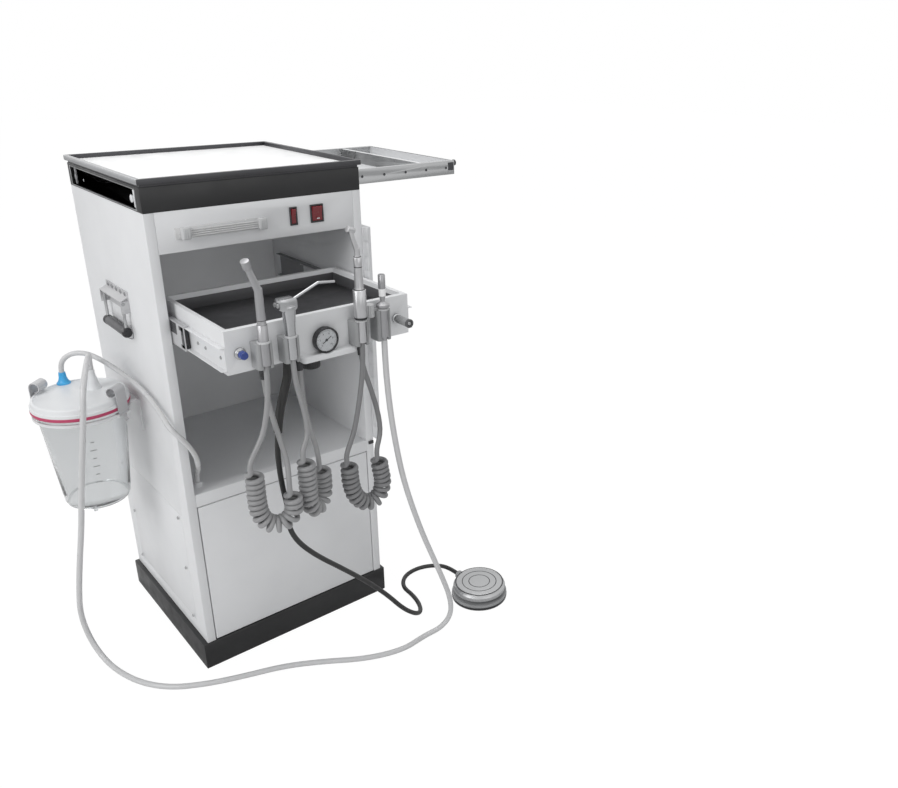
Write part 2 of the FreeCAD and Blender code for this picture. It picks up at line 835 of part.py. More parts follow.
def side_tray():
    half = tray_half_width
    pan = box(tray_start, tray_end, -half, half, tray_bottom, tray_top)
    web = tray_sheet
    inside = box(tray_start + web, tray_end - web, -half + web, half - web,
                 tray_bottom + web, tray_top)
    pan = pan.cut(inside)
    for side in (1, -1):
        lip = box(tray_start, tray_end, min(side * half, side * (half - tray_flange)),
                  max(side * half, side * (half - tray_flange)), tray_top - web, tray_top)
        pan = pan.fuse(lip)
    low_back = box(tray_start, tray_start + web, -half + web, half - web,
                   tray_bottom + tray_rail_height / 2, tray_top - web)
    divider_x = tray_end - tray_divider_from_end
    divider = box(divider_x - tray_divider_width, divider_x, -half + web, half - web,
                  tray_bottom + web, tray_top - web)
    for index in range(tray_slide_holes):
        x = right_x + 24 + index * (tray_pull - 40) / (tray_slide_holes - 1)
        z = (tray_bottom + tray_top) / 2
        pan = pan.cut(rod((x, -half - web, z), (0, 1, 0), tray_hole_radius, 3 * web))
    knob = rod((tray_end - web / 2, -half + 2 * tray_knob_radius, tray_top - tray_knob_radius),
               (1, 0, 0), tray_knob_radius, tray_knob_length)
    return joined(pan.cut(low_back), divider, knob)


# ---- drawer ----
def pull_ledge():
    y0 = drawer_front - ledge_depth
    z0 = drawer_bottom + ledge_low
    ledge = box(ledge_left, ledge_right, y0, drawer_front, z0, z0 + ledge_height)
    corners = [edge for edge in edges_along(ledge, (0, 0, 1))
               if edge.BoundBox.YMax < drawer_front - 1]
    ledge = ledge.makeFillet(ledge_depth * 0.5, corners)
    nose = [edge for edge in edges_along(ledge, (1, 0, 0)) if edge.BoundBox.YMax < y0 + 1]
    ledge = ledge.makeFillet(ledge_height * 0.35, nose)
    return ledge.cut(rod((gauge_x, y0 - 1, gauge_z), (0, 1, 0), gauge_radius + gauge_play,
                         ledge_depth + 2))


def drawer_box():
    shell = box(-drawer_half, drawer_half, drawer_front, drawer_back, drawer_bottom, drawer_top)
    hollow = box(-drawer_half + drawer_wall, drawer_half - drawer_wall,
                 drawer_front + drawer_front_wall, drawer_back - drawer_wall,
                 drawer_bottom + drawer_floor, drawer_top)
    shell = shell.cut(hollow)
    step = insert_top - insert_thickness
    for side in (1, -1):
        edge = side * (drawer_half - drawer_wall)
        inner = edge - side * insert_ledge
        shelf = box(min(edge, inner), max(edge, inner), drawer_front + drawer_front_wall,
                    drawer_back - drawer_wall, step - insert_ledge, step)
        shell = shell.fuse(shelf)
    gauge_hole = rod((gauge_x, drawer_front - 1, gauge_z), (0, 1, 0),
                     gauge_body_radius + gauge_play, drawer_front_wall + 2)
    shell = shell.cut(gauge_hole)
    for x, z in ((water_knob_x, water_knob_z), (air_knob_x, air_knob_z)):
        shell = shell.cut(rod((x, drawer_front - 1, z), (0, 1, 0),
                              knob_shaft_radius + knob_play, drawer_front_wall + 2))
    stem = rod((regulator_x, drawer_front + regulator_back, drawer_bottom - 1), (0, 0, 1),
               regulator_shaft_radius + knob_play, drawer_floor + 2)
    return joined(shell.cut(stem), pull_ledge())


def drawer_insert():
    gap = insert_gap
    return box(-drawer_half + drawer_wall + gap, drawer_half - drawer_wall - gap,
               drawer_front + drawer_front_wall + gap, drawer_back - drawer_wall - gap,
               insert_top - insert_thickness, insert_top)


def pressure_gauge():
    body = rod((gauge_x, drawer_front, gauge_z), (0, 1, 0), gauge_body_radius,
               drawer_front_wall)
    stem = rod((gauge_x, drawer_front, gauge_z), (0, 1, 0), gauge_stem_radius,
               drawer_front_wall + gauge_stem_length)
    case = rod((gauge_x, drawer_front - gauge_out, gauge_z), (0, 1, 0), gauge_radius, gauge_out)
    dish = rod((gauge_x, drawer_front - gauge_out, gauge_z), (0, 1, 0),
               gauge_radius - gauge_bezel, gauge_dish)
    return joined(body, stem, case.cut(dish))


def instrument_holder(x, extra):
    y0 = drawer_front - holder_depth
    block = box(x - holder_width / 2, x + holder_width / 2, y0, drawer_front,
                holder_bottom, holder_top + extra)
    corners = [edge for edge in edges_along(block, (0, 0, 1))
               if edge.BoundBox.YMax < drawer_front - 1]
    block = block.makeFillet(holder_corner, corners)
    seat = rod((x, axis_y, stem_bottom), (0, 0, 1), stem_radius + stem_play,
               holder_height + extra + 1)
    bore = rod((x, axis_y, holder_bottom - 1), (0, 0, 1), hose_bore, holder_height)
    slot = box(x - hose_slot / 2, x + hose_slot / 2, y0 - 1, axis_y,
               holder_bottom - 1, holder_top + extra + 1)
    return block.cut(seat).cut(bore).cut(slot)


def instrument_holders():
    holders = [instrument_holder(x, 0) for x in (high_speed_x, syringe_x, low_speed_x)]
    holders.append(instrument_holder(ejector_x, ejector_holder_extra))
    return Part.makeCompound(holders)


def valve_block():
    y0 = drawer_front + valve_block_front
    z0 = drawer_bottom + drawer_floor
    block = box(-valve_block_width / 2, valve_block_width / 2, y0, y0 + valve_block_depth,
                z0, z0 + valve_block_height)
    regulator = rod((regulator_x, drawer_front + regulator_back, z0), (0, 0, 1),
                    regulator_body_radius, valve_block_height)
    bridge = box(regulator_x - regulator_body_radius / 2, regulator_x + regulator_body_radius / 2,
                 drawer_front + regulator_back, y0 + 1, z0, z0 + valve_block_height / 2)
    socket = rod((regulator_x, drawer_front + regulator_back, z0), (0, 0, 1),
                 regulator_shaft_radius + knob_play, valve_block_height / 3)
    return joined(block, regulator, bridge).cut(socket)


def front_knob(x, z, radius, length, flange_radius, flange_length):
    gap = knob_play
    shaft = rod((x, drawer_front - gap - 1, z), (0, 1, 0), knob_shaft_radius,
                drawer_front_wall + gap + knob_shaft_tail)
    flange = rod((x, drawer_front - gap, z), (0, -1, 0), flange_radius, flange_length)
    grip = rod((x, drawer_front - gap, z), (0, -1, 0), radius, length)
    return joined(shaft, flange, grip)


def water_knob():
    return front_knob(water_knob_x, water_knob_z, water_knob_radius,
                      water_knob_length + water_nut_length, water_nut_radius, water_nut_length)


def air_knob():
    return front_knob(air_knob_x, air_knob_z, air_knob_radius, air_knob_length,
                      air_flange_radius, air_flange_length)


def regulator_knob():
    y = drawer_front + regulator_back
    top = drawer_bottom - regulator_gap
    knob = rod((regulator_x, y, top - regulator_knob_height), (0, 0, 1), regulator_knob_radius,
               regulator_knob_height)
    rims = [edge for edge in knob.Edges if edge.Curve.TypeId == "Part::GeomCircle"]
    knob = knob.makeChamfer(regulator_chamfer, rims)
    shaft = rod((regulator_x, y, top - 1), (0, 0, 1), regulator_shaft_radius,
                regulator_gap + drawer_floor + valve_block_height / 3 - 1)
    return joined(knob, shaft)


# ---- instruments ----
def turned_instrument(outline, x, foot):
    levels = [(radius, foot + height) for radius, height in outline]
    return turned([(0, levels[0][1])] + levels + [(0, levels[-1][1])], x, axis_y)


def leaning_neck(x, outline, lean, tip_radius):
    """A taper that leaves the top of a turned outline; gives it and the point where it ends."""
    radius, height = outline[-1]
    start = Vector(x, axis_y, stem_bottom + height - neck_root)
    end = start + Vector(*lean)
    return Part.makeCone(radius, tip_radius, (end - start).Length, start, end - start), end


def high_speed_handpiece():
    body = turned_instrument(high_speed_outline, high_speed_x, stem_bottom)
    neck, end = leaning_neck(high_speed_x, high_speed_outline, high_speed_lean,
                             high_speed_neck_tip)
    axis = Vector(*high_speed_head_axis).normalize()
    head = Part.makeCylinder(high_speed_head_radius, high_speed_head_length,
                             end - axis * high_speed_head_below, axis)
    return joined(body, neck, head)


def nozzle_point(place):
    right, rise = place
    return Vector(syringe_x + right, axis_y, stem_bottom + rise)


def syringe_body():
    z = stem_bottom
    body = turned_instrument(syringe_outline, syringe_x, z)
    head = box(syringe_x - syringe_head_left, syringe_x + syringe_head_right,
               axis_y - syringe_head_half, axis_y + syringe_head_half,
               z + syringe_head_low, z + syringe_head_high)
    head = softened(head, (0, 1, 0), syringe_head_corner)
    start = nozzle_point(nozzle_start)
    bend = nozzle_point(nozzle_bend)
    end = nozzle_point(nozzle_end)
    nozzle = Part.makeCylinder(nozzle_radius, (bend - start).Length, start, bend - start)
    elbow = Part.makeSphere(nozzle_radius, bend)
    spout = Part.makeCylinder(nozzle_radius, (end - bend).Length, bend, end - bend)
    return joined(body, head, nozzle, elbow, spout)


def button_place(side):
    return (syringe_x - syringe_head_left, axis_y + side * button_spread,
            stem_bottom + button_rise)


def syringe():
    body = syringe_body()
    for side in (1, -1):
        x, y, z = button_place(side)
        body = body.cut(rod((x - 1, y, z), (1, 0, 0), button_radius + button_play,
                            button_length + button_travel + 1))
    return body


def syringe_button(side):
    x, y, z = button_place(side)
    return rod((x - button_travel - button_proud, y, z), (1, 0, 0), button_radius,
               button_length + button_travel)


def low_speed_handpiece():
    body = turned_instrument(low_speed_outline, low_speed_x, stem_bottom)
    neck, end = leaning_neck(low_speed_x, low_speed_outline, low_speed_lean,
                             low_speed_neck_tip)
    axis = Vector(*low_speed_head_axis).normalize()
    foot = end - axis * low_speed_head_below + Vector(0, 0, low_speed_head_rise)
    head = Part.makeCylinder(low_speed_head_radius, low_speed_head_length, foot, axis)
    return joined(body, neck, head)


def saliva_ejector():
    body = turned_instrument(ejector_outline, ejector_x, stem_bottom)
    spigot = rod((ejector_x, axis_y, holder_bottom), (0, 0, 1), suction_hose_radius,
                 holder_ledge + 1)
    top = stem_bottom + ejector_outline[-1][1]
    mouth = rod((ejector_x, axis_y, top - ejector_bore_depth), (0, 0, 1), ejector_bore,
                ejector_bore_depth + 1)
    return joined(body, spigot).cut(mouth)


# ---- switches and lamp ----
def switch_housing(x, width):
    x0, x1, z0, z1 = switch_hole(x, width)
    shell = box(x0, x1, front_y, front_y + switch_depth, z0, z1)
    flange = box(x - width / 2, x + width / 2, front_y - bezel_thickness, front_y,
                 switch_bottom, switch_bottom + switch_height)
    well = box(x - width / 2 + bezel_edge, x + width / 2 - bezel_edge,
               front_y - bezel_thickness, front_y + switch_depth - bezel_edge,
               switch_bottom + bezel_edge, switch_bottom + switch_height - bezel_edge)
    return joined(shell, flange).cut(well)


def switch_bezels():
    return Part.makeCompound([switch_housing(main_switch_x, main_switch_width),
                              switch_housing(light_switch_x, light_switch_width)])


def rocker(x, width):
    """A drum about the rocker's own axis, with the key's two faces cut across its front."""
    half = width / 2 - bezel_edge - rocker_gap
    drum_radius = switch_height / 2 - bezel_edge - rocker_gap
    drum = rod((x - half, rocker_axis_y, switch_centre), (1, 0, 0), drum_radius, 2 * half)
    far = drum_radius + 2
    rise = far * math.tan(math.radians(rocker_throw))
    crown = rocker_axis_y - bezel_thickness / 2
    front = [(crown, switch_centre), (crown - rise, switch_centre + far),
             (crown - 3 * far, switch_centre + far), (crown - 3 * far, switch_centre - far),
             (crown, switch_centre - far)]
    drum = drum.cut(prism_x(front, x - half, x + half))
    rear = rocker_axis_y + drum_radius * 0.55
    return drum.cut(box(x - half, x + half, rear, rear + drum_radius,
                        switch_centre - far, switch_centre + far))


def strip_lamp():
    z0 = lamp_centre - lamp_height / 2
    z1 = lamp_centre + lamp_height / 2
    base = box(lamp_left, lamp_right, front_y - lamp_base, front_y, z0, z1)
    pieces = []
    lens_left = lamp_left + lamp_cap_in + lamp_cap
    lens_right = lamp_right - lamp_cap
    for x0, x1 in ((lens_left - lamp_cap, lens_left), (lens_right, lamp_right)):
        cap = box(x0, x1, front_y - lamp_depth, front_y - lamp_base, z0, z1)
        pieces.append(softened(cap, (1, 0, 0), lamp_cap_corner))
    pitch = lamp_height / lamp_ribs
    for row in range(lamp_ribs):
        pieces.append(rod((lens_left, front_y - lamp_base - pitch / 2, z0 + pitch * (row + 0.5)),
                          (1, 0, 0), pitch * 0.6, lens_right - lens_left))
    return joined(base, *pieces)


# ---- cover door and its hinge ----
def knuckles(first, leaf_x, leaf_y):
    """Every other knuckle of the long hinge, each with its tab out to the leaf."""
    pitch = (door_top - door_bottom) / hinge_knuckles
    pieces = []
    for index in range(first, hinge_knuckles, 2):
        low = door_bottom + index * pitch
        tall = pitch - knuckle_gap
        pieces.append(rod((hinge_x, hinge_y, low), (0, 0, 1), hinge_barrel_radius, tall))
        pieces.append(box(leaf_x, leaf_x + hinge_leaf, hinge_y, leaf_y, low, low + tall))
    return pieces


def cover_door():
    width = hinge_x - (door_edge - hinge_y) - (inner_left - door_overlap)
    slab = box(door_left, door_left + door_thickness, door_edge, door_edge + width,
               door_bottom, door_top)
    slab = slab.fuse(knuckles(1, door_left, door_edge + 1))
    bore = rod((hinge_x, hinge_y, door_bottom - 1), (0, 0, 1), hinge_pin_radius + hinge_play,
               door_top - door_bottom + 2)
    return slab.cut(bore).removeSplitter()


def door_hinge():
    """The leaf on the wall's outer side, its knuckles and the pin through them all."""
    pin = rod((hinge_x, hinge_y, door_bottom), (0, 0, 1), hinge_pin_radius,
              door_top - door_bottom)
    leaf_y = front_y - hinge_barrel_radius - 1
    leaf = box(right_x, right_x + hinge_leaf, leaf_y, front_y + hinge_leaf_width,
               door_bottom, door_top)
    return joined(pin, leaf, *knuckles(0, right_x, leaf_y + 1))


# ---- carrying handle ----
def handle_plate():
    z0 = handle_top - handle_plate_height
    plate = box(left_x - handle_plate_thickness, left_x, handle_front, handle_back,
                z0, handle_top)
    sheet = handle_plate_thickness
    hood_low = handle_pivot_z + bail_radius + 1
    hood = prism_y([(left_x - sheet, hood_low + 6), (left_x - sheet, hood_low + 6 + sheet),
                    (left_x - hood_reach, hood_low + sheet), (left_x - hood_reach, hood_low)],
                   handle_front, handle_back)
    pieces = [hood]
    for y0 in (handle_front, handle_back - sheet):
        pieces.append(box(left_x - hood_reach, left_x - sheet, y0, y0 + sheet, z0, hood_low + 1))
    body = joined(plate, *pieces)
    return body.cut(rod((handle_pivot_x, handle_front - 1, handle_pivot_z), (0, 1, 0),
                        bail_radius + bail_play, handle_back - handle_front + 2))


def handle_bail():
    y0 = handle_front + bail_inset
    y1 = handle_back - bail_inset
    low = handle_pivot_z - bail_length
    x = handle_pivot_x
    stub = bail_inset + 1
    pieces = []
    for y, way in ((y0, -1), (y1, 1)):
        pieces.append(rod((x, y, handle_pivot_z), (0, way, 0), bail_radius, stub))
        pieces.append(rod((x, y, low), (0, 0, 1), bail_radius, bail_length))
        pieces.append(Part.makeSphere(bail_radius, Vector(x, y, handle_pivot_z)))
    grip = rod((x, y0 - grip_over, low), (0, 1, 0), grip_radius, y1 - y0 + 2 * grip_over)
    return joined(grip, *pieces)


# ---- suction jar ----
def jar_bracket():
    z1 = ring_top
    z0 = z1 - ring_height
    ring = rod((jar_x, jar_y, z0), (0, 0, 1), ring_radius, ring_height)
    ring = ring.cut(rod((jar_x, jar_y, z0 - 1), (0, 0, 1), ring_bore, ring_height + 2))
    arm = box(jar_x + ring_bore + 2, left_x - bracket_plate, jar_y - bracket_width / 3,
              jar_y + bracket_width / 3, z0, z1)
    plate = box(left_x - bracket_plate, left_x, jar_y - bracket_width / 2,
                jar_y + bracket_width / 2, z1 - bracket_height, z1)
    lugs = [piece for angle in clip_angles.values() for piece in clip_lugs(angle)]
    return joined(ring, arm, plate, *lugs)


def collection_jar():
    z0 = jar_bottom
    z1 = jar_rim_bottom
    outside = [(0, z0), (jar_bottom_radius - jar_corner, z0), (jar_bottom_radius, z0 + jar_corner),
               (jar_top_radius, z1), (jar_rim_radius, z1), (jar_rim_radius, jar_rim_top),
               (jar_top_radius - jar_wall, jar_rim_top)]
    inside = [(jar_bottom_radius - jar_wall, z0 + jar_corner + jar_wall),
              (jar_bottom_radius - jar_wall - jar_corner, z0 + jar_wall), (0, z0 + jar_wall)]
    jar = turned(outside + inside, jar_x, jar_y)
    foot = rod((jar_x - jar_foot_left, jar_y - jar_foot_front, z0 - jar_corner), (0, 0, 1),
               jar_foot_radius, jar_corner + jar_wall / 2)
    return joined(jar, foot)


def jar_seal():
    seal = rod((jar_x, jar_y, jar_rim_top), (0, 0, 1), seal_radius, seal_height)
    return seal.cut(rod((jar_x, jar_y, jar_rim_top - 1), (0, 0, 1),
                        jar_top_radius - jar_wall, seal_height + 2))


def lid_shell():
    shell = turned([(0, seal_top), (lid_radius, seal_top), (lid_radius, lid_top - lid_edge),
                    (lid_radius - lid_edge, lid_top), (0, lid_top)], jar_x, jar_y)
    shell = shell.cut(rod((jar_x, jar_y, seal_top - 1), (0, 0, 1),
                          jar_top_radius - jar_wall, lid_height - 3))
    spigot = taper((spigot_x, spigot_y, lid_top - 1), (0, 0, 1), spigot_radius,
                   spigot_tip_radius, spigot_height + 1)
    cage_x = jar_x + float_right
    cage_y = jar_y + float_back
    cage = rod((cage_x, cage_y, lid_top - 2), (0, 0, -1), float_radius + 3, float_cage)
    cage = cage.cut(rod((cage_x, cage_y, lid_top - lid_edge - 2), (0, 0, -1),
                        float_radius + 3 - float_wall, float_cage))
    drilling = rod((spigot_x, spigot_y, seal_top - 1), (0, 0, 1),
                   spigot_tip_radius - spigot_wall, lid_height + spigot_height + 2)
    return joined(shell, spigot, cage).cut(drilling)


def blue_connector():
    return taper((blue_x, blue_y, lid_top), (0, 0, 1), blue_radius, blue_tip_radius, blue_height)


def jar_lid():
    return Part.makeCompound([lid_shell(), blue_connector()])


def turned_about_jar(shape, angle):
    moved = shape.copy()
    moved.rotate(Vector(jar_x, jar_y, 0), Vector(0, 0, 1), angle)
    return moved


def lid_clip(angle):
    """A sheet clip, hinged on the ring, that comes up and over the lid's edge."""
    inner = jar_x + clip_radius
    sheet = clip_sheet
    top = lid_top + clip_gap
    half = clip_width / 2
    pivot = inner + sheet / 2
    back = box(inner, inner + sheet, jar_y - half, jar_y + half, clip_pivot_z, top + sheet)
    over = box(inner - clip_reach, inner + sheet, jar_y - half, jar_y + half, top, top + sheet)
    curl = rod((inner - clip_reach, jar_y - half, top + clip_curl), (0, 1, 0), clip_curl,
               clip_width)
    curl = curl.cut(rod((inner - clip_reach, jar_y - half - 1, top + clip_curl), (0, 1, 0),
                        clip_curl - clip_sheet * 0.8, clip_width + 2))
    knuckle = rod((pivot, jar_y - half, clip_pivot_z), (0, 1, 0), clip_knuckle_radius,
                  clip_width)
    bore = rod((pivot, jar_y - half - 1, clip_pivot_z), (0, 1, 0),
               clip_pin_radius + hinge_play, clip_width + 2)
    return turned_about_jar(joined(back, over, curl, knuckle).cut(bore), angle)


def clip_lugs(angle):
    """Two lugs on the ring with the clip's pin between them."""
    half = clip_width / 2 + clip_gap
    pivot = jar_x + clip_radius + clip_sheet / 2
    pieces = []
    for side in (-1, 1):
        y = jar_y + side * half
        far = y + side * clip_lug
        pieces.append(box(jar_x + ring_bore + 1, pivot + clip_knuckle_radius, min(y, far),
                          max(y, far), ring_top - ring_height, ring_top))
    pin = rod((pivot, jar_y - half - clip_lug, clip_pivot_z), (0, 1, 0), clip_pin_radius,
              2 * (half + clip_lug))
    return [turned_about_jar(piece, angle) for piece in pieces + [pin]]


# ---- foot control ----
def pedal_base():
    base = rod((pedal_x, pedal_y, 0), (0, 0, 1), pedal_radius, pedal_base_height)
    post = rod((pedal_x, pedal_y, pedal_base_height), (0, 0, 1), pedal_post_radius,
               pedal_gap_height + pedal_post_reach)
    mouth = pedal_y + pedal_radius + pedal_socket_length
    socket = rod((pedal_x, mouth, pedal_socket_height), (0, -1, 0), pedal_socket_radius,
                 pedal_socket_length + pedal_edge)
    room = rod((pedal_x, pedal_y, pedal_base_height), (0, 0, 1), pedal_radius + 2,
               pedal_socket_radius * 2)
    return joined(base, socket.cut(room), post)


def pedal_top():
    z0 = pedal_base_height + pedal_gap_height
    z1 = z0 + pedal_top_height
    r = pedal_radius - pedal_step
    cap = turned([(0, z0), (r, z0), (r, z1 - pedal_edge), (r - pedal_edge, z1), (0, z1)],
                 pedal_x, pedal_y)
    well = rod((pedal_x, pedal_y, z0 - 1), (0, 0, 1), pedal_post_radius + pedal_play,
               pedal_post_reach + pedal_travel + 2)
    return cap.cut(well)


# ---- inside ----
def feet(x0, x1, y0, y1):
    return [rod((x, y, floor_top), (0, 0, 1), foot_radius, foot_height + 1)
            for x in (x0, x1) for y in (y0, y1)]


def compressor():
    z0 = floor_top + foot_height
    base = box(compressor_left, compressor_right, compressor_y - base_plate_half,
               compressor_y + base_plate_half, z0, z0 + base_plate)
    middle = z0 + base_plate + motor_radius - motor_sink
    pieces = [rod((compressor_x - motor_length / 2, compressor_y, middle), (1, 0, 0),
                  motor_radius, motor_length)]
    for side in (-1, 1):
        near = compressor_x + side * motor_length / 2
        far = near + side * crankcase_length
        pieces.append(box(min(near, far), max(near, far), compressor_y - crankcase_width / 2,
                          compressor_y + crankcase_width / 2, z0 + base_plate / 2,
                          middle + crankcase_rise))
        x = (near + far) / 2
        top = middle + crankcase_rise
        pieces.append(rod((x, compressor_y, top - 1), (0, 0, 1), cylinder_radius,
                          fin_count * fin_pitch + 1))
        for fin in range(fin_count):
            pieces.append(rod((x, compressor_y, top + fin * fin_pitch + fin_pitch / 2),
                              (0, 0, 1), cylinder_radius + fin_reach, fin_thickness))
    across = base_plate_half - foot_in
    pieces += feet(compressor_left + foot_in, compressor_right - foot_in,
                   compressor_y - across, compressor_y + across)
    return joined(base, *pieces)


def air_tank():
    middle = floor_top + foot_height + tank_radius + 4
    shell = rod((-tank_length / 2, tank_y, middle), (1, 0, 0), tank_radius, tank_length)
    rims = [edge for edge in shell.Edges if edge.Curve.TypeId == "Part::GeomCircle"]
    shell = shell.makeFillet(tank_end_radius, rims)
    pieces = []
    for x in (-tank_length * 0.3, tank_length * 0.3):
        half = saddle_width / 2
        pieces.append(box(x - half, x + half, tank_y - tank_radius * 0.7,
                          tank_y + tank_radius * 0.7, floor_top, middle - tank_radius * 0.55))
    return joined(shell, *pieces)


def water_bottle():
    z0 = floor_top
    z1 = z0 + water_height
    neck = water_neck_radius
    return turned([(0, z0), (water_radius, z0), (water_radius, z1 - water_shoulder), (neck, z1),
                   (neck, z1 + water_neck), (0, z1 + water_neck)], water_x, water_y)


def control_box():
    z0 = control_bottom + liner_thickness
    y0 = front_y + switch_depth + box_behind_switch
    return softened(box(box_x - box_width / 2, box_x + box_width / 2, y0, y0 + box_depth,
                        z0, z0 + box_height), (0, 0, 1), box_corner)


def power_inlet():
    z = plinth_height + inlet_height
    body = box(inlet_x - inlet_width / 2, inlet_x + inlet_width / 2, back_y - inlet_depth, back_y,
               z - inlet_tall / 2, z + inlet_tall / 2)
    flange = box(inlet_x - inlet_flange_width / 2, inlet_x + inlet_flange_width / 2,
                 back_y, back_y + inlet_flange, z - inlet_flange_tall / 2,
                 z + inlet_flange_tall / 2)
    recess_floor = back_y + inlet_flange - inlet_recess_depth
    half = inlet_width / 2 - inlet_wall
    tall = inlet_tall / 2 - inlet_wall
    recess = box(inlet_x - half, inlet_x + half, recess_floor, back_y + inlet_flange,
                 z - tall, z + tall)
    pins = []
    for shift, rise in ((-inlet_pin_spread, 0), (0, inlet_pin_rise), (inlet_pin_spread, 0)):
        pin = Part.makeBox(inlet_pin_width, inlet_pin_length + 1, inlet_pin_height)
        pin.translate(Vector(inlet_x + shift - inlet_pin_width / 2, recess_floor - 1,
                             z + rise - inlet_pin_height / 2))
        pins.append(pin)
    return joined(joined(body, flange).cut(recess), *pins)


def hose_tails(name, tail, back_tail):
    return Part.makeCompound([tube(name + " tail", tail, tail_radius),
                              tube(name + " return", back_tail, tail_radius)])


def foot_hose_top():
    return Part.makeCompound([tube("hose loom", loom_route, loom_radius),
                              tube("foot hose top", foot_hose_top_route, foot_hose_radius)])


nodes = {
    "plinth": plinth(),
    "shelf_boards": shelf_boards(),
    "left_wall": left_wall(),
    "right_wall": right_wall(),
    "back_panel": back_panel(),
    "compartment_liner": compartment_liner(),
    "control_panel": control_panel(),
    "service_panels": service_panels(),
    "top_band": top_band(),
    "top_tray": top_tray(),
    "worktop_sheet": worktop_sheet(),
    "slide_rails": slide_rails(),
    "door_hinge": door_hinge(),
    "handle_plate": handle_plate(),
    "strip_lamp": strip_lamp(),
    "switch_bezels": switch_bezels(),
    "compressor": compressor(),
    "air_tank": air_tank(),
    "water_bottle": water_bottle(),
    "control_box": control_box(),
    "power_inlet": power_inlet(),
    "jar_bracket": jar_bracket(),
    "collection_jar": collection_jar(),
    "jar_seal": jar_seal(),
    "jar_lid": jar_lid(),
    "pedal_base": pedal_base(),
    "vacuum_hose": tube("vacuum hose", vacuum_hose_route, vacuum_hose_radius),
    "suction_hose": tube("suction hose", suction_hose_route, suction_hose_radius),
    "foot_hose": tube("foot hose", foot_hose_route, foot_hose_radius),
    "drawer_box": drawer_box(),
    "drawer_insert": drawer_insert(),
    "drawer_inner_slides": Part.makeCompound([drawer_inner_slide(side) for side in (1, -1)]),
    "drawer_middle_slides": Part.makeCompound([drawer_middle_slide(side) for side in (1, -1)]),
    "pressure_gauge": pressure_gauge(),
    "instrument_holders": instrument_holders(),
    "valve_block": valve_block(),
    "high_speed_hose": hose_tails("high speed", high_speed_tail, high_speed_return),
    "high_speed_coil": tube("high speed coil", high_speed_turns, coil_radius),
    "syringe_hose": hose_tails("syringe", syringe_tail, syringe_return),
    "syringe_coil": tube("syringe coil", syringe_turns, coil_radius),
    "low_speed_hose": hose_tails("low speed", low_speed_tail, low_speed_return),
    "low_speed_coil": tube("low speed coil", low_speed_turns, coil_radius),
    "foot_hose_top": foot_hose_top(),
    "side_tray": side_tray(),
    "cover_door": cover_door(),
    "handle_bail": handle_bail(),
    "main_rocker": rocker(main_switch_x, main_switch_width),
    "light_rocker": rocker(light_switch_x, light_switch_width),
    "water_knob": water_knob(),
    "air_knob": air_knob(),
    "regulator_knob": regulator_knob(),
    "high_speed_handpiece": high_speed_handpiece(),
    "syringe": syringe(),
    "air_button": syringe_button(-1),
    "water_button": syringe_button(1),
    "low_speed_handpiece": low_speed_handpiece(),
    "saliva_ejector": saliva_ejector(),
    "pedal_top": pedal_top(),
}
for clip_name, clip_angle in clip_angles.items():
    nodes[clip_name] = lid_clip(clip_angle)

os.makedirs("parts", exist_ok=True)
for node_name, shape in nodes.items():
    shape.exportStep(f"parts/{node_name}.step")
print(len(nodes), "nodes")
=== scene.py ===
import math
import bpy
from mathutils import Matrix, Vector


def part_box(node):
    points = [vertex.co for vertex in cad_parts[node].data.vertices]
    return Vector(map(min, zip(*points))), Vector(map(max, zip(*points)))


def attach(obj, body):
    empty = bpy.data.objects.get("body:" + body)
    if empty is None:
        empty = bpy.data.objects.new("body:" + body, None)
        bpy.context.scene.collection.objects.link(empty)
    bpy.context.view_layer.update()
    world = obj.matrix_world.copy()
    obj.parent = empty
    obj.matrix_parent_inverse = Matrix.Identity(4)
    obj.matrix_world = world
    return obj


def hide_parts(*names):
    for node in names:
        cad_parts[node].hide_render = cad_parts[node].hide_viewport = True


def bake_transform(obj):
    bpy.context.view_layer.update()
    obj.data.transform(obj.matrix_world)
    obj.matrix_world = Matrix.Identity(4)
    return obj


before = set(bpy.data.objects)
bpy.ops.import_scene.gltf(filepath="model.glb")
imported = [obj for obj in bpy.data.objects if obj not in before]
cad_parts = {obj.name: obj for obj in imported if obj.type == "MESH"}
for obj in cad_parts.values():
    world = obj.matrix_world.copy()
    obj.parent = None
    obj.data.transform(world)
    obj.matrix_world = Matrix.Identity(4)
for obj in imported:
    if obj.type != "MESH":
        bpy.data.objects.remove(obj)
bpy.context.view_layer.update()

# ---- places and sizes that several pieces share ----
high_speed_x = -0.110
syringe_x = -0.066
low_speed_x = 0.057
ejector_x = 0.099
axis_y = -0.380                # the instruments' common line, ahead of the drawer's front
stem_bottom = 0.648
holder_bottom = 0.642
ledge_drop = 0.007             # the pull ledge hangs below the drawer and stands ahead of it
ledge_reach = 0.014
drawer_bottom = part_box("drawer_box")[0].z + ledge_drop
drawer_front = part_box("drawer_box")[0].y + ledge_reach
wall_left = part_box("left_wall")[0].x
wall_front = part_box("left_wall")[0].y
shelf_top = 0.362
jar_x = -0.280
jar_y = 0.017
lid_top = 0.520
spigot_x = jar_x + 0.028
spigot_y = jar_y + 0.010
blue_x = jar_x - 0.006
blue_y = jar_y + 0.069
pedal_x = 0.340
pedal_y = -0.330
tail_radius = 0.00425
coil_radius = 0.0153
coil_pitch = 2.06 * tail_radius
coil_rim = Vector((-0.75, -0.66, 0))   # where on its rim a coil begins and ends
coil_steps = 60                # of the coil's middle line between two of its points
bend_reach = 10                # steps on either side over which its bend is measured
bend_share = 0.36              # of the turns that a bend may take out of a coil
bend_gain = 0.65               # how strongly a bend does so
cabinet_left = -0.190
cabinet_front = -0.180
window_back = -0.1885          # the plane behind the band's window frame
band_high = 0.890
rim_x = 0.1935
rim_y = 0.1835
rim_low = 0.894
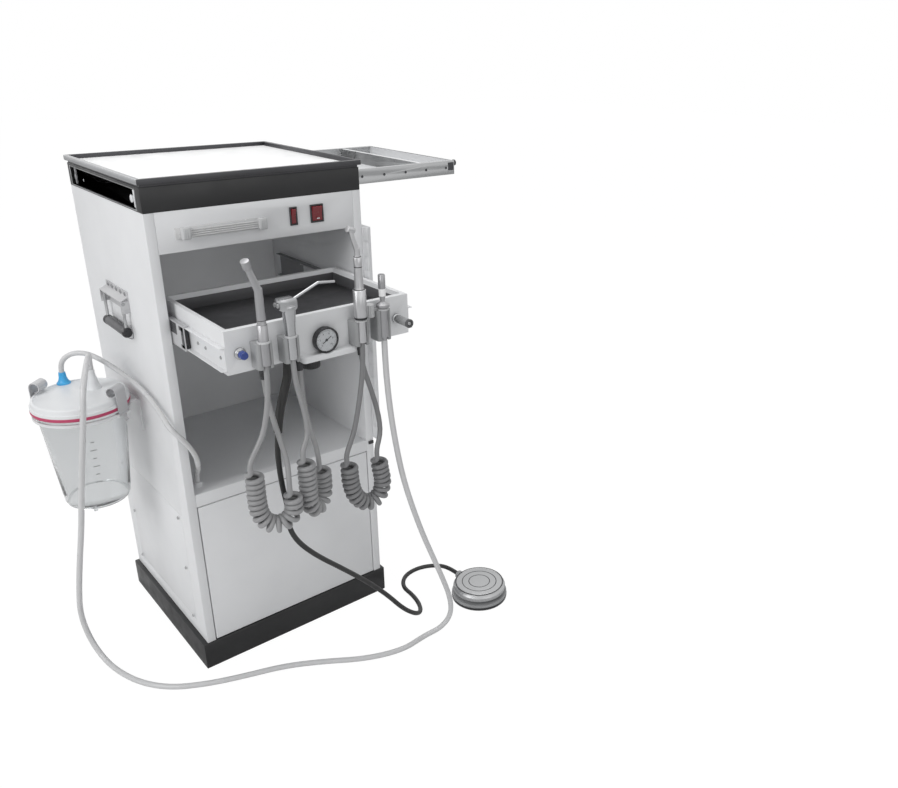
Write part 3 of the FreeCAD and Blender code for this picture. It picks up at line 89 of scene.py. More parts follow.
rim_high = 0.9025
handle_front = -0.045
handle_back = 0.062
bail_front = handle_front + 0.006
bail_back = handle_back - 0.006
bail_x = -0.200
grip_z = 0.6295
gauge_z = 0.660
upward = (0, 0, 1)
to_front = (0, -1, 0)
to_left = (-1, 0, 0)
to_right = (1, 0, 0)


# ---- camera, floor and light ----
def set_camera():
    data = bpy.data.cameras.new("camera")
    data.lens = 33.92
    data.sensor_width = 36.0
    data.shift_x = -0.0629
    data.shift_y = -0.0027
    data.clip_start = 0.05
    camera = bpy.data.objects.new("camera", data)
    camera.location = (-0.6171, -1.5013, 1.0971)
    camera.rotation_euler = [math.radians(turn) for turn in (67.509, -0.597, -40.958)]
    bpy.context.scene.collection.objects.link(camera)
    bpy.context.scene.camera = camera


def area_lamp(name, place, target, power, size=1.6):
    data = bpy.data.lights.new(name, "AREA")
    data.shape = "SQUARE"
    data.size = size
    data.energy = power
    lamp = bpy.data.objects.new(name, data)
    lamp.location = place
    lamp.rotation_euler = (Vector(target) - Vector(place)).to_track_quat("-Z", "Y").to_euler()
    bpy.context.scene.collection.objects.link(lamp)


def node_in(tree, kind, *sources, **settings):
    """A shader node whose first inputs are these values or other nodes' outputs."""
    made = tree.nodes.new(kind)
    for key, value in settings.items():
        setattr(made, key, value)
    for socket, value in zip(made.inputs, sources):
        if isinstance(value, bpy.types.NodeSocket):
            tree.links.new(value, socket)
        else:
            socket.default_value = value
    return made


def set_studio():
    """Three soft lamps in a pale room that the camera and reflections see as white."""
    area_lamp("key", (-2.7, -0.7, 2.1), (-0.1, 0, 0.5), 37)
    area_lamp("front", (0.2, -2.8, 1.3), (0, -0.2, 0.5), 5)
    area_lamp("over", (0.3, 0.1, 2.7), (0, 0, 0.6), 20)
    world = bpy.data.worlds.new("studio")
    world.use_nodes = True
    bpy.context.scene.world = world
    tree = world.node_tree
    room = tree.nodes["Background"]
    room.inputs["Color"].default_value = (0.98, 0.99, 1.0, 1)
    room.inputs["Strength"].default_value = 0.46
    shown = node_in(tree, "ShaderNodeBackground", (1, 1, 1, 1))
    ray = node_in(tree, "ShaderNodeLightPath").outputs
    seen = node_in(tree, "ShaderNodeMath", ray["Is Camera Ray"], ray["Is Glossy Ray"],
                   operation="MAXIMUM")
    seen = node_in(tree, "ShaderNodeMath", seen.outputs[0], ray["Is Transmission Ray"],
                   operation="MAXIMUM")
    mix = node_in(tree, "ShaderNodeMixShader", seen.outputs[0], room.outputs[0],
                  shown.outputs[0])
    tree.links.new(mix.outputs[0], tree.nodes["World Output"].inputs["Surface"])


def set_floor():
    """A pale floor that the camera sees nearly white and that keeps the shadow."""
    bpy.ops.mesh.primitive_plane_add(size=24, location=(0, 0, -0.0004))
    floor = bpy.context.object
    floor.name = "floor"
    material = bpy.data.materials.new("pale_floor")
    material.use_nodes = True
    tree = material.node_tree
    paint = tree.nodes["Principled BSDF"]
    paint.inputs["Base Color"].default_value = (0.84, 0.84, 0.84, 1)
    paint.inputs["Roughness"].default_value = 0.7
    lit = node_in(tree, "ShaderNodeEmission", (1, 1, 1, 1), 1.05)
    ray = node_in(tree, "ShaderNodeLightPath").outputs
    share = node_in(tree, "ShaderNodeMath", ray["Is Camera Ray"], 0.92, operation="MULTIPLY")
    mix = node_in(tree, "ShaderNodeMixShader", share.outputs[0], paint.outputs[0],
                  lit.outputs[0])
    tree.links.new(mix.outputs[0], tree.nodes["Material Output"].inputs["Surface"])
    floor.data.materials.append(material)


# ---- finishes ----
finishes = {}
noise_low = 0.3                # most of the noise lies between these two
noise_high = 0.7


def add_node(material, kind, **inputs):
    """A shader node with its inputs by name, each a value or another node's output."""
    made = material.node_tree.nodes.new(kind)
    for key, value in inputs.items():
        socket = made.inputs[key.replace("_", " ")]
        if isinstance(value, bpy.types.NodeSocket):
            material.node_tree.links.new(value, socket)
        else:
            socket.default_value = value
    return made


def grain(material, scale, detail=3.0, stretch=(1, 1, 1)):
    """Noise that follows the piece's own coordinates, from 0 to 1."""
    place = add_node(material, "ShaderNodeTexCoord")
    spread = add_node(material, "ShaderNodeMapping", Vector=place.outputs["Object"], Scale=stretch)
    noise = add_node(material, "ShaderNodeTexNoise", Vector=spread.outputs["Vector"],
                     Scale=scale, Detail=detail)
    return noise.outputs["Fac"]


def toned(material, amount, low, high):
    """Goes from one colour to another over the middle of the noise's range."""
    ramp = add_node(material, "ShaderNodeValToRGB", Fac=amount)
    ramp.color_ramp.elements[0].position = noise_low
    ramp.color_ramp.elements[0].color = (*low, 1)
    ramp.color_ramp.elements[1].position = noise_high
    ramp.color_ramp.elements[1].color = (*high, 1)
    return ramp.outputs["Color"]


def ranged(material, amount, low, high):
    """Goes from one value to another over the middle of the noise's range."""
    made = add_node(material, "ShaderNodeMapRange", Value=amount, From_Min=noise_low,
                    From_Max=noise_high, To_Min=low, To_Max=high)
    return made.outputs["Result"]


def finish(name, colour, rough, metal=0.0, tone=0.05, patch=9.0, rough_spread=0.08,
           smear=30.0, pore=900.0, depth=0.00002, stretch=(1, 1, 1), **shader):
    """A painted, moulded or metal surface with uneven tone, smears and a fine skin."""
    material = bpy.data.materials.new(name)
    material.use_nodes = True
    surface = material.node_tree.nodes["Principled BSDF"]
    links = material.node_tree.links
    low = [channel * (1 - tone) for channel in colour]
    high = [min(1.0, channel * (1 + tone)) for channel in colour]
    tint = toned(material, grain(material, patch, 4.0, stretch), low, high)
    links.new(tint, surface.inputs["Base Color"])
    dull = ranged(material, grain(material, smear, 4.0, stretch),
                  max(0.03, rough - rough_spread), min(1.0, rough + rough_spread))
    links.new(dull, surface.inputs["Roughness"])
    bump = add_node(material, "ShaderNodeBump", Height=grain(material, pore, 3.0, stretch),
                    Strength=0.6, Distance=depth)
    links.new(bump.outputs["Normal"], surface.inputs["Normal"])
    surface.inputs["Metallic"].default_value = metal
    for key, value in shader.items():
        surface.inputs[key.replace("_", " ")].default_value = value
    finishes[name] = material


def make_finishes():
    """One finish for each material slot of the part, and a few for details."""
    fine = 1600.0
    finish("white_board", (0.78, 0.785, 0.795), 0.46, tone=0.03, depth=0.00003)
    # a little darker than white_board: painted shade for the inside of the deep compartment
    finish("inner_board_painted_shade", (0.72, 0.725, 0.735), 0.5, tone=0.03, depth=0.00003)
    finish("white_sheet", (0.78, 0.785, 0.795), 0.4, tone=0.03, pore=1300.0)
    finish("white_drawer", (0.80, 0.805, 0.815), 0.38, tone=0.03, pore=1300.0)
    finish("black_sheet", (0.014, 0.014, 0.015), 0.42, tone=0.2, pore=1400.0, depth=0.00004)
    finish("dark_rim", (0.05, 0.05, 0.055), 0.36, tone=0.15, pore=1400.0)
    finish("rim_silver", (0.46, 0.465, 0.475), 0.35, 0.7, tone=0.1, stretch=(1, 0.03, 1))
    finish("white_laminate", (0.97, 0.97, 0.97), 0.4, tone=0.01, depth=0.00001)
    finish("dark_laminate", (0.042, 0.042, 0.045), 0.45, tone=0.15, depth=0.00005)
    # colour of the dark lips over the drawer's inner walls, partly a dark lining and partly
    # painted shade
    finish("shade_lip_dark", (0.10, 0.10, 0.105), 0.5, tone=0.12)
    finish("bright_steel", (0.42, 0.425, 0.43), 0.34, 0.9, tone=0.12, stretch=(0.05, 1, 1))
    finish("clip_steel", (0.56, 0.56, 0.57), 0.38, 0.5, tone=0.08, rough_spread=0.04)
    finish("dark_steel", (0.28, 0.28, 0.29), 0.45, 0.85, tone=0.2, stretch=(1, 0.05, 1))
    finish("chrome", (0.47, 0.475, 0.485), 0.22, 0.95, tone=0.04, smear=60.0,
           rough_spread=0.04, depth=0.000008)
    finish("instrument_metal", (0.38, 0.38, 0.39), 0.34, 0.7, tone=0.03, smear=60.0,
           rough_spread=0.03, pore=fine, depth=0.000008)
    finish("grey_plastic", (0.33, 0.335, 0.34), 0.42, tone=0.08, smear=60.0)
    finish("grey_hose", (0.31, 0.31, 0.315), 0.4, tone=0.06, smear=50.0, pore=fine)
    finish("mid_hose", (0.225, 0.225, 0.23), 0.4, tone=0.06, smear=50.0, pore=fine)
    finish("pale_hose", (0.63, 0.63, 0.635), 0.32, tone=0.02, smear=40.0)
    finish("black_hose", (0.02, 0.02, 0.02), 0.5, tone=0.2, smear=50.0)
    finish("black_plastic", (0.025, 0.025, 0.028), 0.28, tone=0.15, smear=80.0)
    finish("red_plastic", (0.20, 0.008, 0.014), 0.25, tone=0.12, smear=90.0, Coat_Weight=0.4)
    finish("blue_plastic", (0.02, 0.05, 0.25), 0.25, tone=0.1, smear=90.0, Coat_Weight=0.3)
    finish("clear_plastic", (0.90, 0.91, 0.915), 0.05, tone=0.01, smear=20.0,
           rough_spread=0.02, depth=0.000004, Transmission_Weight=0.97, IOR=1.3)
    finish("white_plastic", (0.78, 0.79, 0.80), 0.36, tone=0.015, smear=40.0)
    finish("grip_rubber", (0.10, 0.10, 0.105), 0.45, tone=0.15, smear=60.0)
    finish("bright_metal", (0.54, 0.54, 0.55), 0.32, 0.7, tone=0.03, smear=60.0,
           rough_spread=0.03, pore=fine, depth=0.000008)
    finish("zinc", (0.76, 0.765, 0.775), 0.36, 0.15, tone=0.06, stretch=(1, 0.05, 1))
    finish("pale_plastic", (0.56, 0.565, 0.57), 0.4, tone=0.08, smear=60.0)
    finish("dial", (0.55, 0.555, 0.56), 0.5, tone=0.015, smear=90.0, depth=0.000006)
    finish("glass", (0.95, 0.96, 0.97), 0.05, tone=0.01, smear=60.0, rough_spread=0.02,
           Transmission_Weight=0.97, IOR=1.12)
    finish("sky_plastic", (0.06, 0.42, 0.80), 0.3, tone=0.06, smear=60.0)
    finish("red_rubber", (0.50, 0.05, 0.13), 0.4, tone=0.1, smear=60.0)
    finish("lamp_lens", (0.80, 0.80, 0.80), 0.2, tone=0.03, smear=60.0,
           Transmission_Weight=0.2)
    finish("tank_paint", (0.05, 0.05, 0.055), 0.3, tone=0.1)
    finish("motor_paint", (0.15, 0.155, 0.16), 0.45, tone=0.15, pore=500.0, depth=0.0001)


# ---- modelling helpers ----
def fit(piece, body, slot, *nodes, finish_name=None):
    """Gives a piece its finish and body, and hides the plain solids that it stands for."""
    piece.data.materials.append(finishes[finish_name or slot])
    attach(piece, body)
    if nodes:
        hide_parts(*nodes)
    return piece


def select_only(piece):
    bpy.ops.object.select_all(action="DESELECT")
    bpy.context.view_layer.objects.active = piece
    piece.select_set(True)


def edit(piece):
    select_only(piece)
    bpy.ops.object.mode_set(mode="EDIT")
    bpy.ops.mesh.select_all(action="SELECT")


def leave():
    bpy.ops.object.mode_set(mode="OBJECT")


def smooth(piece, angle=35.0):
    select_only(piece)
    bpy.ops.object.shade_smooth_by_angle(angle=math.radians(angle))


def apply_modifier(piece, name):
    bpy.context.view_layer.objects.active = piece
    bpy.ops.object.modifier_apply(modifier=name)


def apply_place(piece):
    """Takes a piece's place, turn and scale into its mesh."""
    select_only(piece)
    bpy.ops.object.transform_apply(location=True, rotation=True, scale=True)
    return piece


def broken_edges(piece, width, steps=2):
    """Rounds every sharp edge by a small width."""
    bevel = piece.modifiers.new("edges", "BEVEL")
    bevel.width = width
    bevel.segments = steps
    bevel.limit_method = "ANGLE"
    bevel.angle_limit = math.radians(40)
    apply_modifier(piece, "edges")
    smooth(piece)


def dressed(node, body, slot, edge=0.0008, steps=2, finish_name=None):
    """A copy of a plain solid, with its doubles merged, flats joined and edges broken."""
    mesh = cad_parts[node].data.copy()
    mesh.materials.clear()
    piece = bpy.data.objects.new(node + "_finished", mesh)
    bpy.context.scene.collection.objects.link(piece)
    edit(piece)
    bpy.ops.mesh.remove_doubles(threshold=0.00001)
    bpy.ops.mesh.dissolve_limited(angle_limit=math.radians(0.5))
    leave()
    if edge:
        broken_edges(piece, edge, steps)
    else:
        smooth(piece)
    return fit(piece, body, slot, node, finish_name=finish_name)


def named(name):
    piece = bpy.context.object
    piece.name = name
    piece.data.name = name
    return piece


def settle(piece, foot=(0, 0, 0), axis=upward):
    """Turns a piece that was made along Z on to its axis, moves it and fixes its place."""
    bpy.context.view_layer.update()
    turn = Vector(upward).rotation_difference(Vector(axis)).to_matrix().to_4x4()
    piece.matrix_world = Matrix.Translation(foot) @ turn @ piece.matrix_world
    return apply_place(piece)


def follow(outline):
    """Extrudes what is selected from each (radius, height) to the next."""
    for (was, low), (now, high) in zip(outline, outline[1:]):
        bpy.ops.mesh.extrude_region_move(TRANSFORM_OT_translate={"value": (0, 0, high - low)})
        bpy.ops.transform.resize(value=(now / was, now / was, 1), center_override=(0, 0, high))


def circle(name, radius, height, sides, fill):
    """A circle at a height, which an outline then grows from."""
    bpy.ops.object.select_all(action="DESELECT")
    bpy.ops.mesh.primitive_circle_add(vertices=sides, radius=radius, fill_type=fill,
                                      location=(0, 0, height))
    return named(name)


def turned(name, outline, foot=(0, 0, 0), axis=upward, sides=40, flutes=0, flute_depth=0.06):
    """A solid turned from an outline of (radius, height) points, plain or fluted."""
    piece = circle(name, *outline[0], 2 * flutes or sides, "NGON")
    if flutes:
        for corner in list(piece.data.vertices)[::2]:
            corner.co *= 1 - flute_depth
    edit(piece)
    follow(outline)
    bpy.ops.mesh.select_all(action="SELECT")
    bpy.ops.mesh.normals_make_consistent(inside=False)
    leave()
    smooth(piece)
    return settle(piece, foot, axis)


def hoop(name, outline, foot=(0, 0, 0), sides=64):
    """A ring turned from a closed outline, whose last point repeats the first."""
    piece = circle(name, *outline[0], sides, "NOTHING")
    edit(piece)
    follow(outline)
    bpy.ops.mesh.select_all(action="SELECT")
    bpy.ops.mesh.remove_doubles(threshold=0.000001)
    bpy.ops.mesh.normals_make_consistent(inside=False)
    leave()
    smooth(piece)
    return settle(piece, foot)


def block(name, low, high, edge=0.0008, steps=2):
    """A rectangular piece between two corners, with its edges broken."""
    bpy.ops.object.select_all(action="DESELECT")
    low = Vector(low)
    high = Vector(high)
    bpy.ops.mesh.primitive_cube_add(size=1, location=(low + high) / 2)
    piece = named(name)
    piece.scale = high - low
    settle(piece)
    if edge:
        broken_edges(piece, edge, steps)
    return piece


def mesh_of(curve, name):
    """A piece with a curve's shape, in place of the curve."""
    mesh = bpy.data.meshes.new_from_object(curve)
    mesh.name = name
    bpy.data.objects.remove(curve)
    piece = bpy.data.objects.new(name, mesh)
    bpy.context.scene.collection.objects.link(piece)
    return piece


def bent_sheet(name, outline, width, thick):
    """A strip of sheet that follows an outline of (out, up) points, bent as a curve."""
    curve = hose_curve(name + "_curve", [(out, up, 0) for out, up in outline])
    curve.data.dimensions = "2D"
    curve.data.fill_mode = "NONE"
    curve.data.extrude = width / 2
    piece = mesh_of(curve, name)
    wall = piece.modifiers.new("wall", "SOLIDIFY")
    wall.thickness = thick
    wall.offset = 0
    apply_modifier(piece, "wall")
    smooth(piece)
    return piece


def joined(name, *pieces):
    """One piece out of several."""
    select_only(pieces[0])
    for piece in pieces[1:]:
        piece.select_set(True)
    bpy.ops.object.join()
    return named(name)


def trimmed(piece, place, facing):
    """Cuts off what lies beyond a plane and closes the cut."""
    edit(piece)
    bpy.ops.mesh.bisect(plane_co=place, plane_no=facing, use_fill=True, clear_outer=True)
    leave()
    return piece


def copied(piece, name, offset=(0, 0, 0), turn=0.0, about=(0, 0, 0), axis="Z"):
    """A copy with its own mesh, turned about a point and moved."""
    twin = piece.copy()
    twin.data = piece.data.copy()
    twin.name = name
    twin.data.name = name
    twin.parent = None
    bpy.context.scene.collection.objects.link(twin)
    centre = Matrix.Translation(about)
    spin = centre @ Matrix.Rotation(math.radians(turn), 4, axis) @ centre.inverted()
    twin.matrix_world = Matrix.Translation(offset) @ spin
    return apply_place(twin)


# ---- hoses ----
def placed(points, x, y, z):
    """The points of a route, moved to where it starts from."""
    return [(x + dx, y + dy, z + dz) for dx, dy, dz in points]


def hose_curve(name, points, radius=0.0, steps=6):
    """A curve whose control points are these, round if it has a radius."""
    data = bpy.data.curves.new(name, "CURVE")
    data.dimensions = "3D"
    data.resolution_u = steps
    spline = data.splines.new("NURBS")
    spline.points.add(len(points) - 1)
    for knot, point in zip(spline.points, points):
        knot.co = (*point, 1)
    spline.order_u = 3
    spline.use_endpoint_u = True
    data.bevel_depth = radius
    data.bevel_resolution = 4
    data.use_fill_caps = True
    curve = bpy.data.objects.new(name, data)
    bpy.context.scene.collection.objects.link(curve)
    return curve


def line_of(points, steps=6):
    """The smooth line that a curve with these control points follows."""
    curve = hose_curve("line", points, steps=steps)
    mesh = bpy.data.meshes.new_from_object(curve)
    line = [vertex.co.copy() for vertex in mesh.vertices]
    bpy.data.objects.remove(curve)
    bpy.data.meshes.remove(mesh)
    return line


def tube(name, points, radius, steps=6):
    """A round mesh tube along the smooth line, and that line."""
    piece = mesh_of(hose_curve(name + "_curve", points, radius, steps), name)
    edit(piece)
    bpy.ops.mesh.remove_doubles(threshold=0.000001)
    bpy.ops.mesh.normals_make_consistent(inside=False)
    leave()
    smooth(piece, 50)
    return piece, line_of(points, steps)


def length_of(line):
    return sum((after - before).length for before, after in zip(line, line[1:]))


def helix(axis_points, radius):
    """Points that wind round a hose's coiled stretch, wider where it bends, begins or ends."""
    line = line_of(axis_points, coil_steps)
    total = length_of(line)
    loose = 1.8 * coil_pitch
    side = coil_rim
    wound = []
    turn = 0.0
    walked = 0.0
    for index in range(1, len(line)):
        step = line[index] - line[index - 1]
        ahead = step.normalized()
        before = line[index] - line[max(0, index - bend_reach)]
        after = line[min(len(line) - 1, index + bend_reach)] - line[index]
        bend = before.angle(after, 0.0) / (before.length + after.length) * 2
        walked += step.length
        ease = max(0.0, min(1.0, walked / loose, (total - walked) / loose))
        tight = ease * ease * (1 - min(bend_share, bend_gain * radius * bend))
        turn += 2 * math.pi * step.length / coil_pitch * tight
        side = (side - ahead * side.dot(ahead)).normalized()
        wound.append((line[index], side, ahead.cross(side), turn))
    last = math.atan2(coil_rim.dot(ahead.cross(side)), coil_rim.dot(side))
    whole = round((turn - last) / (2 * math.pi))
    share = (whole * 2 * math.pi + last) / turn
    return [place + (side * math.cos(turn * share) + across * math.sin(turn * share)) * radius
            for place, side, across, turn in wound]


def curly_hose(name, x, tail, turns, back, nodes, finish_name=None):
    """A handpiece hose: straight tail, wound stretch hanging in a U, straight return."""
    tail = placed(tail, x, axis_y, stem_bottom)
    turns = placed(turns, x, axis_y, stem_bottom)
    back = placed(back, x, axis_y, stem_bottom)
    wound = helix(turns, coil_radius - tail_radius)
    to_rim = wound[0] - Vector(turns[0])
    from_rim = wound[-1] - Vector(turns[-1])
    points = [Vector(point) for point in tail[:-1]] + [Vector(tail[-1]) + to_rim] + wound
    points += [Vector(back[0]) + from_rim] + [Vector(point) for point in back[1:]]
    piece, line = tube(name, points, tail_radius, 3)
    fit(piece, "drawer", "grey_hose", *nodes, finish_name=finish_name)
    piece.parent = None
    end = Vector(back[-1])
    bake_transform(piece)
    relief = turned(name + "_relief", [(0.0052, -0.022), (0.0064, -0.006), (0.0064, 0)],
                    end + Vector((0, 0, 0.0004)))
    fit(relief, "drawer", "black_plastic")


def handpiece_hoses():
    curly_hose("high_speed_hose_run", high_speed_x, [
        (0, 0, 0), (0, 0, -0.034), (-0.006, 0, -0.074), (-0.015, 0, -0.107),
        (-0.028, 0, -0.129), (-0.0375, 0, -0.146),
    ], [
        (-0.0375, 0, -0.161), (-0.0375, 0, -0.189), (-0.0379, 0.0003, -0.220),
        (-0.0356, -0.001, -0.246), (-0.0208, -0.005, -0.265), (0.0008, -0.010, -0.2665),
        (0.016, -0.0136, -0.2515), (0.0165, -0.014, -0.230), (0.0165, -0.014, -0.209),
    ], [
        (0.0165, -0.014, -0.193), (0.015, -0.009, -0.165), (0.012, 0.003, -0.130),
        (0.009, 0.017, -0.091), (0.007, 0.028, -0.048), (0.007, 0.028, -0.011),
    ], ("high_speed_hose", "high_speed_coil"))
    curly_hose("syringe_hose_run", syringe_x, [
        (0, 0, 0), (0, 0, -0.036), (0.008, -0.002, -0.076), (0.012, -0.004, -0.108),
        (0.010, -0.006, -0.132), (0.0034, -0.007, -0.149),
    ], [
        (0.0034, -0.007, -0.164), (0.0034, -0.007, -0.186), (0.003, -0.0072, -0.209),
        (0.0031, -0.0071, -0.231), (0.0042, -0.0065, -0.253), (0.0146, -0.0007, -0.2675),
        (0.0298, 0.0077, -0.2675), (0.0404, 0.0136, -0.253), (0.0418, 0.0144, -0.231),
        (0.041, 0.014, -0.214), (0.041, 0.014, -0.197),
    ], [
        (0.041, 0.014, -0.181), (0.032, 0.013, -0.158), (0.024, 0.013, -0.127),
        (0.022, 0.020, -0.091), (0.024, 0.028, -0.048), (0.024, 0.028, -0.011),
    ], ("syringe_hose", "syringe_coil"))
    curly_hose("low_speed_hose_run", low_speed_x, [
        (0, 0, 0), (0, 0, -0.034), (-0.007, 0, -0.078), (-0.0155, 0, -0.117),
        (-0.026, 0, -0.156), (-0.0385, 0, -0.183),
    ], [
        (-0.0385, 0, -0.199), (-0.0385, 0, -0.219), (-0.0385, 0, -0.241),
        (-0.032, 0, -0.272), (-0.010, 0, -0.2945), (0.015, 0, -0.291), (0.027, 0, -0.265),
        (0.020, 0, -0.230), (0.020, 0, -0.208),
    ], [
        (0.020, 0, -0.192), (0.027, 0.001, -0.170), (0.027, 0.006, -0.135),
        (0.0215, 0.018, -0.090), (0.013, 0.028, -0.048), (0.013, 0.028, -0.011),
    ], ("low_speed_hose", "low_speed_coil"), "mid_hose")


def plain_hose(name, body, slot, points, radius, *nodes, lay="loose", far_end="object",
               blend=None):
    """A smooth hose along a route, taken off its body and fixed in place when blend is given."""
    piece, line = tube(name, points, radius)
    fit(piece, body, slot, *nodes)
    if blend:
        piece.parent = None
        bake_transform(piece)


def suction_hose():
    drop = placed([
        (0, 0, 0), (0, 0, -0.036), (-0.001, -0.005, -0.086), (0.002, -0.008, -0.142),
        (0.009, -0.010, -0.202), (0.019, -0.011, -0.260), (0.035, -0.011, -0.320),
        (0.055, -0.011, -0.384),
    ], ejector_x, axis_y, holder_bottom)
    floor = [
        (0.178, -0.390, 0.194), (0.202, -0.388, 0.132), (0.221, -0.385, 0.078),
        (0.226, -0.381, 0.034), (0.206, -0.375, 0.008), (0.166, -0.371, 0.0052),
        (0.110, -0.379, 0.0052), (0.040, -0.354, 0.0052), (-0.024, -0.309, 0.0052),
        (-0.088, -0.272, 0.0052), (-0.158, -0.249, 0.0052), (-0.218, -0.225, 0.0052),
        (-0.272, -0.192, 0.0052), (-0.308, -0.145, 0.0052), (-0.329, -0.088, 0.0052),
        (-0.340, -0.042, 0.012), (-0.351, -0.015, 0.048), (-0.357, -0.009, 0.104),
    ]
    rise = placed([
        (-0.100, -0.049, -0.354), (-0.092, -0.065, -0.288), (-0.082, -0.079, -0.222),
        (-0.075, -0.090, -0.162), (-0.068, -0.099, -0.108), (-0.059, -0.106, -0.052),
        (-0.050, -0.110, 0.002), (-0.043, -0.104, 0.036), (-0.030, -0.084, 0.060),
        (-0.014, -0.050, 0.070), (-0.003, -0.018, 0.068), (0, 0, 0.054), (0, 0, 0.036),
    ], spigot_x, spigot_y, lid_top)
    points = drop + floor + rise
    plain_hose("suction_hose_run", "cabinet", "pale_hose", points, 0.005, "suction_hose",
               blend=((0.226, -0.381, 0.034), (0.4598, -0.4589, 0.2938)))
    stub = tube("ejector_hose_end", [
        points[0], points[1], (ejector_x - 0.0004, axis_y - 0.0022, holder_bottom - 0.066),
    ], 0.0049)[0]
    fit(stub, "saliva_ejector", "pale_hose")


def vacuum_hose():
    over = placed([
        (0, 0, 0), (0, 0, 0.013), (0.006, -0.004, 0.027), (0.020, -0.013, 0.037),
        (0.038, -0.031, 0.038), (0.056, -0.050, 0.027), (0.073, -0.074, 0.010),
    ], blue_x, blue_y, lid_top + 0.019)
    round_stile = placed([
        (-0.012, 0.156, 0.176), (-0.009, 0.112, 0.170), (-0.009, 0.060, 0.161),
        (-0.012, 0.014, 0.151), (-0.012, -0.012, 0.140), (0.004, -0.023, 0.118),
        (0.022, -0.016, 0.084), (0.032, 0.008, 0.046), (0.035, 0.032, 0.024),
        (0.035, 0.032, 0.008),
    ], wall_left, wall_front, shelf_top)
    plain_hose("vacuum_hose_run", "cabinet", "pale_hose", over + round_stile, 0.0045,
               "vacuum_hose")


def foot_hose():
    top = placed([
        (-0.022, 0.030, -0.117), (-0.026, 0.030, -0.143), (-0.026, 0.030, -0.185),
        (-0.023, 0.030, -0.223), (-0.019, 0.030, -0.249), (-0.019, 0.030, -0.274),
        (-0.019, 0.030, -0.297), (-0.004, 0.031, -0.331), (0.030, 0.034, -0.373),
        (0.076, 0.037, -0.419), (0.126, 0.041, -0.471), (0.172, 0.045, -0.525),
    ], syringe_x, axis_y, drawer_bottom)
    floor = placed([
        (-0.200, -0.008, 0.064), (-0.166, 0, 0.030), (-0.140, 0.018, 0.0115),
        (-0.122, 0.048, 0.005), (-0.114, 0.084, 0.0045), (-0.114, 0.122, 0.0045),
        (-0.090, 0.152, 0.0045), (-0.052, 0.160, 0.0045), (-0.018, 0.144, 0.007),
        (0, 0.110, 0.013), (0, 0.072, 0.013),
    ], pedal_x, pedal_y, 0)
    x, y, z = top[0]
    plain_hose("foot_hose_run", "cabinet", "black_hose", top + floor, 0.0045, "foot_hose",
               "foot_hose_top", blend=((x, y, 0.10), (x, y, z)))


def hose_loom():
    points = placed([
        (0.005, 0.030, 0), (0.005, 0.030, -0.023), (-0.005, 0.030, -0.052),
        (-0.018, 0.030, -0.091), (-0.022, 0.030, -0.117),
    ], syringe_x, axis_y, drawer_bottom)
    plain_hose("hose_loom", "drawer", "black_hose", points, 0.0068, lay="hanging",
               far_end="bare")


# ---- screws ----
def screw(name, foot, axis, radius=0.0035):
    """A low round head with a socket."""
    return turned(name, [
        (radius, 0), (radius, radius * 0.25), (radius * 0.86, radius * 0.5),
        (radius * 0.52, radius * 0.62), (radius * 0.40, radius * 0.60),
        (radius * 0.34, radius * 0.28), (radius * 0.05, radius * 0.24),
    ], foot, axis, sides=24)


def screws(name, body, axis, places, slot="bright_steel", radius=0.0035):
    """The same screw in several places, as one piece."""
    first = screw(name, places[0], axis, radius)
    start = Vector(places[0])
    rest = [copied(first, name + "_copy", Vector(place) - start) for place in places[1:]]
    fit(joined(name, first, *rest) if rest else first, body, slot)


# ---- cabinet ----
def cabinet_boards():
    for node in ("left_wall", "right_wall", "back_panel", "control_panel", "service_panels",
                 "shelf_boards"):
        dressed(node, "cabinet", "white_board", 0.0009)
    # the liner gets the darker board colour, painted shade inside the compartment
    dressed("compartment_liner", "cabinet", "white_board", 0.0006, finish_name="inner_board_painted_shade")
    dressed("plinth", "cabinet", "black_sheet", 0.0015, 3)
    dressed("cover_door", "cover_door", "white_board", 0.0006)
    dressed("door_hinge", "cabinet", "bright_steel", 0.0002, finish_name="white_sheet")
    dressed("slide_rails", "cabinet", "dark_steel", 0.0003)
    screws("side_sheet_screws", "cabinet", to_left, [
        (cabinet_left - 0.0021, y, z) for y in (-0.128, 0.141) for z in (0.089, 0.195, 0.301)
    ], radius=0.003)
    screws("back_screws", "cabinet", (0, 1, 0), [
        (x, 0.1799, z) for x in (-0.160, 0.160) for z in (0.09, 0.33, 0.57, 0.82)
    ])
    bumper = block("door_bumper", (0.178, -0.1832, 0.352), (0.189, cabinet_front, 0.3585), 0.001)
    fit(bumper, "cabinet", "black_plastic")


def rim_bar(name, x0, x1, y0, y1, finish_name):
    """One side of the top tray's rim, mitred at both ends."""
    bar = block(name, (x0, y0, rim_low), (x1, y1, rim_high), 0.0009)
    for end in (-1, 1):
        if x1 - x0 > y1 - y0:
            outer, inward = (y0, 1) if y0 < 0 else (y1, -1)
            trimmed(bar, (end * rim_x, outer, 0), (end, inward, 0))
        else:
            outer, inward = (x0, 1) if x0 < 0 else (x1, -1)
            trimmed(bar, (outer, end * rim_y, 0), (inward, end, 0))
    fit(bar, "cabinet", "dark_rim", finish_name=finish_name)


def top_of_cabinet():
    dressed("top_band", "cabinet", "black_sheet", 0.0008)
    dressed("worktop_sheet", "cabinet", "white_laminate", 0.0004)
    plate = block("top_plate", (-0.1885, -0.1785, band_high), (0.1885, 0.1785, rim_low), 0)
    fit(plate, "cabinet", "dark_rim", "top_tray")
    inner_x = 0.1855
    inner_y = 0.1755
    rim_bar("rim_front", -rim_x, rim_x, -rim_y, -inner_y, "dark_rim")
    rim_bar("rim_back", -rim_x, rim_x, inner_y, rim_y, "dark_rim")
    rim_bar("rim_left", -rim_x, -inner_x, -rim_y, rim_y, "rim_silver")
    rim_bar("rim_right", inner_x, rim_x, -rim_y, rim_y, "dark_rim")


